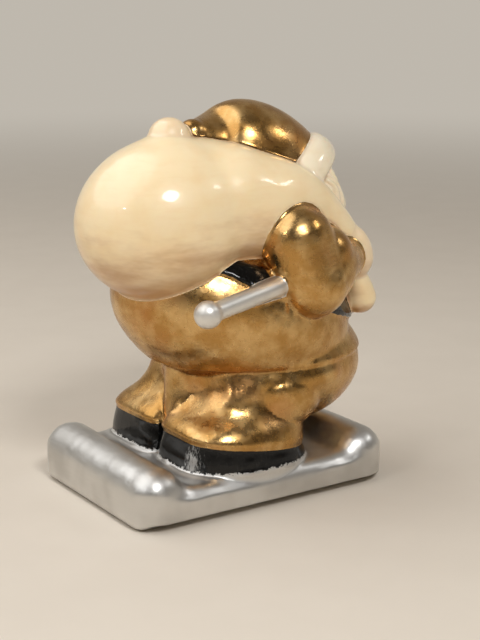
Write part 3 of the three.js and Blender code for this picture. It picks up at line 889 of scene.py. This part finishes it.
def fuse_head():
    shells = [ball(HEAD, HEAD_RADIUS, 0, 96), nose_shell(), lip_shell(), *beard_shells()]
    for side in HANDS:
        shells += [brow_shell(side), moustache_shell(side), cheek_shell(side)]
    face = make_object("face", *joined(*shells))
    remesh(face, FACE_GRAIN, 4)
    comb(face)
    return face


def comb(face):
    """Soft grooves that run down the beard, the moustache and the brows."""
    points, out = positions(face), normals(face)
    seen = points - HEAD
    azimuth = np.degrees(np.arctan2(seen[:, 1], seen[:, 0]))
    height = np.degrees(np.arctan2(seen[:, 2], np.hypot(seen[:, 0], seen[:, 1])))
    hair = np.clip(np.linalg.norm(seen, axis=1) - HEAD_RADIUS - 0.6, 0, 1)
    for bare in (on_head(0, -7, 1.5), on_head(0, -33, 5.5), on_head(24, -11), on_head(-24, -11)):
        hair *= np.clip(np.linalg.norm(points - bare, axis=1) / NOSE_RADIUS - 1.2, 0, 1)
    wander = 6 * np.sin(np.radians(height * 5)) + 3 * np.sin(np.radians(height * 11 + azimuth * 2))
    ridge = np.abs(np.sin(np.radians((azimuth + wander) * 360 / HAIR_STEP / 2)))
    set_positions(face, points + out * ((ridge - 0.6) * HAIR_DEPTH * hair)[:, None])


def split_head(face):
    """The pieces of the head. What the hair and the nose leave is its skin."""
    hair = FACE_CREASE + HAIR_DEPTH / 2
    cutters = {"nose": solid(nose_shell(FACE_CREASE))}
    for side, hand in HANDS.items():
        cutters["eyebrow_" + hand] = solid(brow_shell(side, hair))
        cutters["moustache_" + hand] = solid(moustache_shell(side, hair))
    cutters["beard"] = solid(*beard_shells(hair))
    return cut_up(face, cutters, "head")


# Belt buckle

def buckle():
    """A silver frame with round corners, tilted to lie on the front of the belt."""
    reach = BODY_HALF[0] * math.sqrt(1 - (BELT_RISE / BODY_HALF[2]) ** 2)
    slope = math.atan2(BELT_RISE / BODY_HALF[2] ** 2, reach / BODY_HALF[0] ** 2)
    rings = []
    for inset, out in ((0, 0), (0, 1), (0.45, 1), (1, 1), (1, 0)):
        bar = 2 * BUCKLE_BAR * inset
        outline = rounded(BUCKLE_WIDE - bar, BUCKLE_TALL - bar, BUCKLE_CORNER, 8)
        rings.append(np.column_stack([np.full(len(outline), out * BUCKLE_THICK), outline]))
    verts, faces = hoop(rings)
    place = on_body(reach + BELT_THICK - BUCKLE_SINK, 0, BELT_RISE)
    obj = make_object("belt_buckle", leaning(verts, LEAN - math.degrees(slope)) + place, faces)
    bevel = obj.modifiers.new("bevel", "BEVEL")
    bevel.width = BUCKLE_BEVEL * MM
    bevel.segments = 3
    return bake(obj)


# The fused body and its pieces

def sled_solid():
    return combine(solid(sled_shell()), solid(plan_corners()), "INTERSECT")


def fuse_body():
    """All the main forms as one soft skin."""
    forms = [sled_solid(), coat_solid(), belt_solid(), sack_form()]
    shells = [
        fold_shell(), belly_shell(), *lap_shells(), waist_shell(-HEM_STEP), cap_shell(),
        brim_shell(), pompom_shell(), mouth_shell(), thumb_shell(), staff_shell(), knob_shell(),
    ]
    for side in HANDS:
        shells += [boot_shell(side), leg_shell(side), mitten_shell(side), *sleeve_shells(side)]
    body = make_object("body", *joined(*shells))
    with bpy.context.temp_override(
            active_object=body, object=body, selected_editable_objects=[body, *forms]):
        bpy.ops.object.join()
    return remesh(body, GRAIN, 10)


def tool_marks():
    """Two lines that a tool left where the toboggan's rear roll meets its deck."""
    foot = vec(-39, 0, 17.2)
    left = [vec(2.5, 28, -0.4), vec(0.6, 18, 0), vec(-1, 9, 0.6)]
    right = [vec(-1.2, 13, 0.6), vec(0.3, -2, 0), vec(-0.4, -15, 0.3), vec(-2, -30, 1.4)]
    return [[foot + place for place in line] for line in (left, right)]


def boot_lip(side):
    """The ridge of clay round a boot, where it was pressed into the deck."""
    middle = BOOT_PLACE[side] + vec(0, 0, DECK_HEIGHT + LIP_RISE)
    reach = vec(BOOT_LONG / 2 + LIP_OUT, BOOT_WIDE / 2 + LIP_OUT, 0)
    path = []
    for angle in np.arange(60, 301, 12):
        path.append(middle + reach * squared(way(angle, 0), 2 / SQUARE[side]))
    return [place for place in path if place[1] * side > -1 and abs(place[1]) < SLED_WIDTH / 2 - 2]


def sleeve_valley():
    """The soft valley between the right sleeve and the sack."""
    return [on_body(-5, -40.5, 45), on_body(-1, -47, 36.5), on_body(6, -51.5, 27)]


def hem_roll(side):
    """The roll of cloth under the coat's hem."""
    rows = [(-9, 31, -9), (0, 34, -8), (12, 37.5, -7), (24, 39, -6), (34, 37.5, -5)]
    return [vec(x, side * y, HEM_HEIGHT + z) for x, y, z in rows]


def sack_crease():
    shoulder = on_body(-24, -14, 41)
    return [shoulder, shoulder + vec(14, -9, 3), shoulder + vec(26, -12, 2)]


def work_surface(body):
    """Creases, ridges and dents that the tools and the mould left in the clay."""
    points, out = positions(body), normals(body)
    for line in tool_marks():
        carve(points, out, line, *TOOL_MARK)
    for side in HANDS:
        carve(points, out, boot_lip(side), *BOOT_LIP)
    carve(points, out, sleeve_valley(), *SLEEVE_VALLEY)
    for side in HANDS:
        carve(points, out, hem_roll(side), *HEM_ROLL)
    carve(points, out, sack_crease(), *SACK_CREASE)
    height = points[:, 2]
    lift = waves(points, *LONG_WAVES, 1) + waves(points, *SHORT_WAVES, 2)
    lift *= np.interp(height, (CALM_START, CALM_END), (1, CALM_SHARE))
    crumpled = np.exp(-(np.linalg.norm(points - CRUMPLE, axis=1) / CRUMPLE_REACH) ** 2)
    lift += crumpled * waves(points, *CRUMPLE_WAVES, 3)
    lift *= np.clip((height - FLAT_HEIGHT) / FLAT_BLEND, 0, 1)
    set_positions(body, points + out * lift[:, None])


def finish_surface(piece, whole):
    """Gives a piece the smooth shading of the uncut body, so that no border shows in its gloss."""
    piece.data.shade_smooth()
    shade = piece.modifiers.new("shade", "DATA_TRANSFER")
    shade.object = whole
    shade.use_loop_data = True
    shade.data_types_loops = {"CUSTOM_NORMAL"}
    shade.loop_mapping = "POLYINTERP_NEAREST"
    bake(piece)


def cut_up(fused, cutters, last):
    """Cuts pieces out of a fused form, one after another. What is left gets the last name."""
    pieces = {}
    for name, cutter in cutters.items():
        pieces[name] = new_object(name, fused.data.copy())
        boolean(pieces[name], cutter, "INTERSECT")
        combine(fused, cutter, "DIFFERENCE")
    fused.name = fused.data.name = last
    pieces[last] = fused
    return pieces


def trousers_cutter():
    cuffs = gap_shell(BOOT_TOP, BOOT_TOP + 10)
    legs = [leg_shell(side, LEG_OVER) for side in HANDS]
    hips = [fold_shell(), belly_shell(BELLY_OVER), *lap_shells(LEG_OVER)]
    return solid(above(BOOT_TOP + 5), *legs, *hips, cuffs)


def boot_cutters():
    """The right boot is cut first, so the left one takes the clay between them."""
    between = gap_shell(DECK_HEIGHT + 1, BOOT_TOP + 1, 0.0)
    return {
        "boot_right": solid(boot_shell(-1, BOOT_OVER)),
        "boot_left": solid(boot_shell(1, BOOT_OVER), between),
    }


def split_body(body):
    """The pieces of the body, from the outermost to the ones that carry them."""
    pieces = cut_up(body, {
        "staff_knob": solid(knob_shell(CREASE)),
        "sleeve_right": solid(*sleeve_shells(-1, CREASE)),
        "sleeve_left": solid(*sleeve_shells(1, CREASE)),
        "staff_shaft": solid(staff_shell(CREASE)),
        "mitten_right": solid(mitten_shell(-1, CREASE)),
        "mitten_left": solid(mitten_shell(1, CREASE), thumb_shell(CREASE)),
        "sack_mouth": solid(mouth_shell(CREASE)),
        "cap_pompom": solid(pompom_shell(CREASE)),
        "cap_brim": solid(brim_shell(CREASE)),
        "cap_crown": solid(cap_shell(CREASE)),
        "sack": sack_form(CREASE),
        "belt": painted_belt(),
        "coat": solid(above(HEM_HEIGHT - HEM_OVER)),
        "trousers": trousers_cutter(),
        **boot_cutters(),
    }, "sled_base")
    combine(body, solid(*vent_shells()), "DIFFERENCE")
    return pieces


def build():
    """Every piece of the figure, by the name of its node."""
    pieces = {}
    body = fuse_body()
    work_surface(body)
    # How deep each point lies in a crease. The lustres and glazes use it to paint shade into the
    # creases.
    mark(body, "crease", hollowness(body, 24))
    for fused, split in ((body, split_body), (fuse_head(), split_head)):
        whole = new_object("whole", fused.data.copy())
        whole.data.shade_smooth()
        for name, piece in split(fused).items():
            pieces[name] = piece
            finish_surface(piece, whole)
        drop(whole)
    for side, hand in HANDS.items():
        pieces["eye_" + hand] = make_object("eye_" + hand, *eye_shell(side))
    pieces["belt_buckle"] = buckle()
    return pieces


# Glazes and lustres

def colour(code):
    """An sRGB colour, such as 0xF6E2BE, as the linear one that a shader takes."""
    parts = [(code >> shift & 255) / 255 for shift in (16, 8, 0)]
    return (*[v / 12.92 if v < 0.04045 else ((v + 0.055) / 1.055) ** 2.4 for v in parts], 1.0)


class Nodes:
    """A node tree under construction."""

    def __init__(self, tree):
        self.tree = tree

    def feed(self, socket, value):
        if isinstance(value, bpy.types.NodeSocket):
            self.tree.links.new(value, socket)
        else:
            socket.default_value = value

    def node(self, kind, settings=None, **inputs):
        made = self.tree.nodes.new("ShaderNode" + kind)
        for key, value in (settings or {}).items():
            setattr(made, key, value)
        for key, value in inputs.items():
            self.feed(made.inputs[key.replace("_", " ")], value)
        return made

    def levels(self, value, low, high, start=0.0, end=1.0):
        """Start below the low value, end above the high one, and a soft change between them."""
        made = self.node("MapRange", {"interpolation_type": "SMOOTHSTEP"}, Value=value)
        for key, number in zip(("From Min", "From Max", "To Min", "To Max"), (low, high, start, end)):
            made.inputs[key].default_value = number
        return made.outputs["Result"]

    def math(self, operation, first, second=0.0):
        made = self.node("Math", {"operation": operation})
        self.feed(made.inputs[0], first)
        self.feed(made.inputs[1], second)
        return made.outputs["Value"]

    def vector(self, operation, first, second=(0, 0, 0)):
        made = self.node("VectorMath", {"operation": operation})
        self.feed(made.inputs[0], first)
        self.feed(made.inputs[1], second)
        return made

    def mix(self, factor, first, second):
        made = self.node("Mix", {"data_type": "RGBA"})
        for index, value in ((0, factor), (6, first), (7, second)):
            self.feed(made.inputs[index], value)
        return made.outputs[2]


class Finish(Nodes):
    """A material under construction. Its sizes are millimetres on the figure."""

    def __init__(self, name):
        self.material = bpy.data.materials.new(name)
        self.material.use_nodes = True
        super().__init__(self.material.node_tree)
        self.shader = self.tree.nodes["Principled BSDF"]
        self.place = self.node("TexCoord").outputs["Object"]

    def surface(self, **inputs):
        for key, value in inputs.items():
            self.feed(self.shader.inputs[key.replace("_", " ")], value)

    def noise(self, size, detail=2.0, rough=0.5, stretch=(1, 1, 1), turn=(0, 0, 0)):
        scale = [1 / (size * MM * part) for part in stretch]
        place = self.node("Mapping", Vector=self.place, Rotation=turn, Scale=scale).outputs["Vector"]
        return self.node(
            "TexNoise", Vector=place, Scale=1.0, Detail=detail, Roughness=rough).outputs["Fac"]

    def bump(self, height, depth, under=None):
        """Relief that is some millimetres deep where the height goes from 0 to 1."""
        made = self.node("Bump", Height=height, Distance=depth * MM, Strength=1.0)
        if under:
            self.tree.links.new(under, made.inputs["Normal"])
        return made.outputs["Normal"]

    def attribute(self, name):
        return self.node("Attribute", {"attribute_name": name}).outputs["Fac"]

    def coordinate(self, axis):
        """How far along an axis a point of the figure lies, in millimetres."""
        parts = self.node("SeparateXYZ", Vector=self.place)
        return self.math("DIVIDE", parts.outputs[axis], MM)


GOLD_PALE, GOLD_MID = colour(0xD6B076), colour(0xB98D50)
GOLD_DEEP, GOLD_COPPER = colour(0x7A532C), colour(0xB4733E)
SILVER_PALE, SILVER_DULL = colour(0xD8D7D4), colour(0xC6C4C0)
SILVER_DEEP = colour(0x8A8680)
# The staff's silver is paler than the toboggan's: painted light for the bright highlight along the
# staff.
STAFF_LIT_PALE, STAFF_LIT_DULL = colour(0xE9E7E2), colour(0xD8D5CF)
ENAMEL, ENAMEL_RUBBED = colour(0x0D0C0B), colour(0x3A3A3A)
CREAM, CREAM_DEEP = colour(0xF9E2B8), colour(0xF1D09A)
# The amber of the painted shade in the glazes' creases and on their undersides.
SHADE_AMBER = colour(0xB47A45)
FUR, FUR_DEEP = colour(0xF6E8CC), colour(0xE6CFA6)
WOOL = colour(0xF3DAB4)
SKIN, SKIN_BLUSH = colour(0xF0C7A2), colour(0xD98868)

BOOT_BORDER = DECK_HEIGHT + 1.7
HEEL_RUB = vec(-28, -29, 19)
HEEL_STRETCH = vec(1, 1, 0.55)


def gold_lustre():
    """Gold paint, brushed on by hand: mottled and crinkled like foil, with painted shade that turns
    it brown in the creases.
    """
    f = Finish("gold_lustre")
    cloud = f.levels(f.noise(11, 3, 0.6), 0.36, 0.66)
    speckle = f.levels(f.noise(0.9, 4, 0.7), 0.55, 0.72)
    tone = f.mix(cloud, GOLD_MID, GOLD_PALE)
    tone = f.mix(f.math("MULTIPLY", speckle, 0.25), tone, GOLD_DEEP)
    warm = f.levels(f.noise(24, 2), 0.52, 0.75, 0, 0.5)
    tone = f.mix(warm, tone, GOLD_COPPER)
    # Painted shade: deep brown in the creases.
    crease = f.levels(f.attribute("crease"), 0.1, 0.8, 0, 0.5)
    tone = f.mix(crease, tone, GOLD_DEEP)
    satin = f.levels(f.noise(4, 3), 0.3, 0.7, 0.22, 0.33)
    rough = f.math("ADD", satin, f.math("MULTIPLY", speckle, 0.08))
    crinkle = f.attribute("crinkle")
    swell = f.bump(f.math("MULTIPLY", f.noise(3.6, 2), crinkle), 0.09)
    foil = f.bump(f.noise(1.15, 3, 0.6, (1, 1, 0.6)), 0.035, swell)
    f.surface(Base_Color=tone, Metallic=1.0, Roughness=rough, Normal=f.bump(speckle, 0.01, foil))
    return f.material


def silver_lustre(name, pale, dull, satin):
    """Satin silver, brushed along the rolls of the toboggan, with painted shade in its creases. The
    staff's is paler, as painted light for its bright highlight, and more satin.
    """
    f = Finish(name)
    brush = f.noise(0.55, 3, 0.6, (1, 14, 1), (0, 0, 0.12))
    cloud = f.levels(f.noise(18, 2, 0.5), 0.35, 0.7)
    tone = f.mix(cloud, pale, dull)
    # Painted shade: the creases darken towards SILVER_DEEP.
    tone = f.mix(f.levels(f.attribute("crease"), 0.1, 0.6, 0, 0.6), tone, SILVER_DEEP)
    uneven = f.levels(cloud, 0, 1, satin, satin + 0.08)
    rough = f.math("ADD", f.levels(brush, 0.3, 0.7, 0.0, 0.1), uneven)
    swell = f.bump(f.noise(6, 2), 0.12)
    grain = f.bump(f.noise(0.8, 3, 0.65), 0.012, swell)
    f.surface(Base_Color=tone, Metallic=1.0, Roughness=rough, Normal=f.bump(brush, 0.012, grain))
    return f.material


def black_enamel(name, worn=False):
    """Black enamel with faint brush streaks. On the boots it is ragged below and rubbed at a heel."""
    f = Finish(name)
    streak = f.noise(0.7, 3, 0.6, (1, 1, 7))
    tone = f.mix(f.levels(streak, 0.52, 0.8, 0, 0.35), ENAMEL, ENAMEL_RUBBED)
    rough = f.levels(streak, 0.3, 0.75, 0.07, 0.24)
    metal = 0.0
    if worn:
        ragged = f.math("ADD", f.coordinate("Z"), f.levels(f.noise(1.6, 4, 0.7), 0.2, 0.8, -1.1, 1.1))
        border = f.levels(ragged, BOOT_BORDER - 0.25, BOOT_BORDER, 1, 0)
        squeezed = f.vector("MULTIPLY", f.place, HEEL_STRETCH).outputs["Vector"]
        offset = f.vector("DISTANCE", squeezed, HEEL_RUB * HEEL_STRETCH * MM).outputs["Value"]
        smear = f.levels(f.noise(0.9, 4, 0.75, (1, 1, 4)), 0.1, 0.9, -4.0, 4.0)
        patch = f.math("ADD", f.math("DIVIDE", offset, MM), smear)
        rubbed = f.levels(patch, 0.8, 4.2, 0.6, 0)
        bare = f.math("MAXIMUM", border, rubbed)
        tone = f.mix(bare, tone, SILVER_PALE)
        rough = f.math("ADD", rough, f.math("MULTIPLY", bare, 0.35))
        metal = bare
    swell = f.bump(f.noise(3.0, 2), 0.1)
    f.surface(Base_Color=tone, Metallic=metal, Roughness=rough, Normal=f.bump(streak, 0.01, swell))
    f.surface(Coat_Weight=0.15, Coat_Roughness=0.05, Specular_IOR_Level=0.25)
    return f.material


def glaze(name, body, deep, painted_shade, gloss):
    """Clear glaze over tinted clay. Painted shade makes it darker and amber in creases and on
    undersides.
    """
    f = Finish(name)
    cloud = f.levels(f.noise(14, 3, 0.55), 0.4, 0.75, 0, 0.45)
    streak = f.levels(f.noise(2.4, 3, 0.6, (6, 6, 1)), 0.45, 0.8, 0, 0.3)
    tone = f.mix(cloud, body, deep)
    tone = f.mix(streak, tone, deep)
    # Painted shade: the glaze turns amber in creases and on undersides, where the surface faces down.
    crease = f.levels(f.attribute("crease"), 0.08, 0.7, 0, painted_shade)
    slope = f.node("SeparateXYZ", Vector=f.node("NewGeometry").outputs["Normal"]).outputs["Z"]
    uneven = f.levels(f.noise(7, 3, 0.6, (3, 3, 1)), 0.2, 0.8, -0.3, 0.3)
    under = f.levels(f.math("ADD", slope, uneven), -1.0, 0.1, painted_shade, 0)
    tone = f.mix(f.math("MAXIMUM", crease, under), tone, SHADE_AMBER)
    swell = f.bump(f.noise(5.5, 1.5), 0.1)
    peel = f.bump(f.noise(1.6, 2), 0.008, swell)
    f.surface(Base_Color=tone, Roughness=0.34, Normal=f.bump(f.noise(0.6, 2), 0.004))
    f.surface(Coat_Weight=gloss, Coat_Roughness=0.05, Coat_Normal=peel)
    f.surface(Subsurface_Weight=0.12, Subsurface_Scale=0.004)
    f.shader.inputs["Subsurface Radius"].default_value = (1.0, 0.55, 0.3)
    return f.material


def skin_glaze():
    f = Finish("skin_glaze")
    blush = f.attribute("blush")
    speckle = f.levels(f.noise(1.4, 3), 0.4, 0.8, 0, 0.12)
    tone = f.mix(speckle, SKIN, SKIN_BLUSH)
    f.surface(Base_Color=f.mix(blush, tone, SKIN_BLUSH), Roughness=0.3)
    f.surface(Coat_Weight=1.0, Coat_Roughness=0.05, Coat_Normal=f.bump(f.noise(3.0, 2), 0.04))
    f.surface(Subsurface_Weight=0.12, Subsurface_Scale=0.003)
    return f.material


def both(name):
    """The left and the right piece of a pair."""
    return [name + "_" + hand for hand in HANDS.values()]


# Each look, with its slot and the pieces that wear it, and how crinkled the lustre is on each
LOOKS = [
    (gold_lustre(), "gold_lustre", [*both("sleeve"), "cap_crown", "coat", "trousers"]),
    (silver_lustre("silver_lustre", SILVER_PALE, SILVER_DULL, 0.32),
     "silver_lustre", ["sled_base", "belt_buckle"]),
    # The staff wears a paler copy of the silver: painted light.
    (silver_lustre("staff_lit_lustre", STAFF_LIT_PALE, STAFF_LIT_DULL, 0.42),
     "silver_lustre", ["staff_knob", "staff_shaft"]),
    (black_enamel("black_enamel"), "black_enamel", ["belt", *both("eye")]),
    (black_enamel("boot_enamel", worn=True), "black_enamel", both("boot")),
    (glaze("sack_glaze", CREAM, CREAM_DEEP, 0.75, 0.5), "sack_glaze", ["sack", "sack_mouth"]),
    (glaze("fur_glaze", FUR, FUR_DEEP, 0.45, 0.7),
     "fur_glaze", ["cap_brim", "beard", *both("eyebrow"), *both("moustache")]),
    (glaze("wool_glaze", WOOL, CREAM_DEEP, 0.45, 0.7), "fur_glaze", [*both("mitten"), "cap_pompom"]),
    (skin_glaze(), "skin_glaze", ["nose", "head"]),
]
CRINKLE = {"trousers": 1.0, "coat": 0.7, "sleeve_right": 0.25, "sleeve_left": 0.25, "cap_crown": 0.1}


# Camera, light and floor

PHOTO_HEIGHT = 640
FOCAL_PIXELS = 1450
SENSOR = 36.0
VIEW_AZIMUTH, VIEW_PITCH = -33.8, 13.9
VIEW_TARGET = vec(0, -20.2, 72.1)
VIEW_DISTANCE = 581.0

HORIZON = (0.52, 0.48, 0.42, 1.0)
ROOM_LIT, ROOM_DIM = (0.34, 0.31, 0.27, 1.0), (0.07, 0.06, 0.05, 1.0)
FLOOR, FLOOR_SHADE = colour(0xDCD2C4), colour(0xB8AC9C)
FLOOR_REACH = 9000.0
HAZE_START, HAZE_END = 0.35, 1.6

# Lamps: azimuth and height in degrees, distance, width and height in metres, and watts
LAMP_TARGET = vec(0, -15, 90)
LAMPS = {
    "key": (145, 52, 0.9, 1.4, 1.1, 6.7),
    "front": (-103, 44, 0.9, 0.28, 0.2, 3.9),
    "side": (-167, 28, 1.0, 0.07, 0.07, 0.6),
    "strip": (-30, 37, 1.0, 0.3, 0.08, 0.8),
}


def add_camera():
    back = way(VIEW_AZIMUTH - 90, VIEW_PITCH)
    camera = new_object("camera", bpy.data.cameras.new("camera"))
    camera.location = (VIEW_TARGET + back * VIEW_DISTANCE) * MM
    camera.rotation_euler = Vector(-back).to_track_quat("-Z", "Y").to_euler()
    camera.data.sensor_width = SENSOR
    camera.data.lens = SENSOR * FOCAL_PIXELS / PHOTO_HEIGHT
    camera.data.clip_start = 0.01
    bpy.context.scene.camera = camera


def add_lamp(name, azimuth, height, distance, wide, tall, watts):
    """A soft box that faces the figure."""
    data = bpy.data.lights.new(name, "AREA")
    data.shape = "ELLIPSE"
    data.size, data.size_y = wide, tall
    data.energy = watts
    lamp = new_object(name, data)
    towards = way(azimuth, height)
    lamp.location = LAMP_TARGET * MM + towards * distance
    lamp.rotation_euler = Vector(-towards).to_track_quat("-Z", "Y").to_euler()


def add_world():
    """A pale horizon all round, and above it a room that is dim on the photographer's side."""
    world = bpy.data.worlds.new("world")
    bpy.context.scene.world = world
    world.use_nodes = True
    n = Nodes(world.node_tree)
    towards = n.node("TexCoord").outputs["Generated"]
    height = n.node("SeparateXYZ", Vector=towards).outputs["Z"]
    ahead = n.vector("DOT_PRODUCT", towards, way(VIEW_AZIMUTH + 90, 0)).outputs["Value"]
    room = n.mix(n.levels(ahead, -0.5, 0.8), ROOM_DIM, ROOM_LIT)
    sky = n.mix(n.levels(height, 0.05, 0.25), HORIZON, room)
    n.feed(world.node_tree.nodes["Background"].inputs["Color"], sky)


def add_floor():
    """A pale floor that fades into the horizon far from the figure."""
    corners = [vec(x, y, 0) * FLOOR_REACH for x, y in ((-1, -1), (1, -1), (1, 1), (-1, 1))]
    floor = make_object("floor", corners, [(0, 1, 2, 3)])
    f = Finish("floor")
    cloud = f.levels(f.noise(30, 4), 0.3, 0.7, 0, 0.06)
    tone = f.mix(cloud, FLOOR, FLOOR_SHADE)
    f.surface(Base_Color=tone, Roughness=0.7, Specular_IOR_Level=0.2)
    distance = f.vector("LENGTH", f.place).outputs["Value"]
    glow = f.node("Emission", Color=HORIZON)
    blend = f.node("MixShader", Fac=f.levels(distance, HAZE_START, HAZE_END))
    f.tree.links.new(f.shader.outputs["BSDF"], blend.inputs[1])
    f.tree.links.new(glow.outputs["Emission"], blend.inputs[2])
    f.tree.links.new(blend.outputs["Shader"], f.tree.nodes["Material Output"].inputs["Surface"])
    floor.data.materials.append(f.material)


def blush(piece):
    """Red cheeks, lips and tip of the nose, as a share for each point."""
    points = positions(piece)
    spots = [(on_head(side * 25, -12), 5.0, 0.7) for side in HANDS]
    spots += [(on_head(0, -7, 3), 4.5, 0.6), (on_head(0, -33, 6), 2.4, 1.0)]
    share = np.zeros(len(points))
    for place, reach, strength in spots:
        gap = np.linalg.norm(points - place, axis=1) / reach
        share = np.maximum(share, strength * np.exp(-gap ** 2))
    mark(piece, "blush", share)


def dress(pieces):
    for material, slot, names in LOOKS:
        for name in names:
            piece = pieces[name]
            if slot == "skin_glaze":
                blush(piece)
            if name in CRINKLE:
                mark(piece, "crinkle", np.full(len(piece.data.vertices), CRINKLE[name]))
            piece.data.materials.clear()
            piece.data.materials.append(material)
            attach(piece, "root")
            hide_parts(name)


bpy.context.scene.view_settings.view_transform = "Standard"
add_camera()
dress(build())
add_world()
add_floor()
for name, lamp in LAMPS.items():
    add_lamp(name, *lamp)
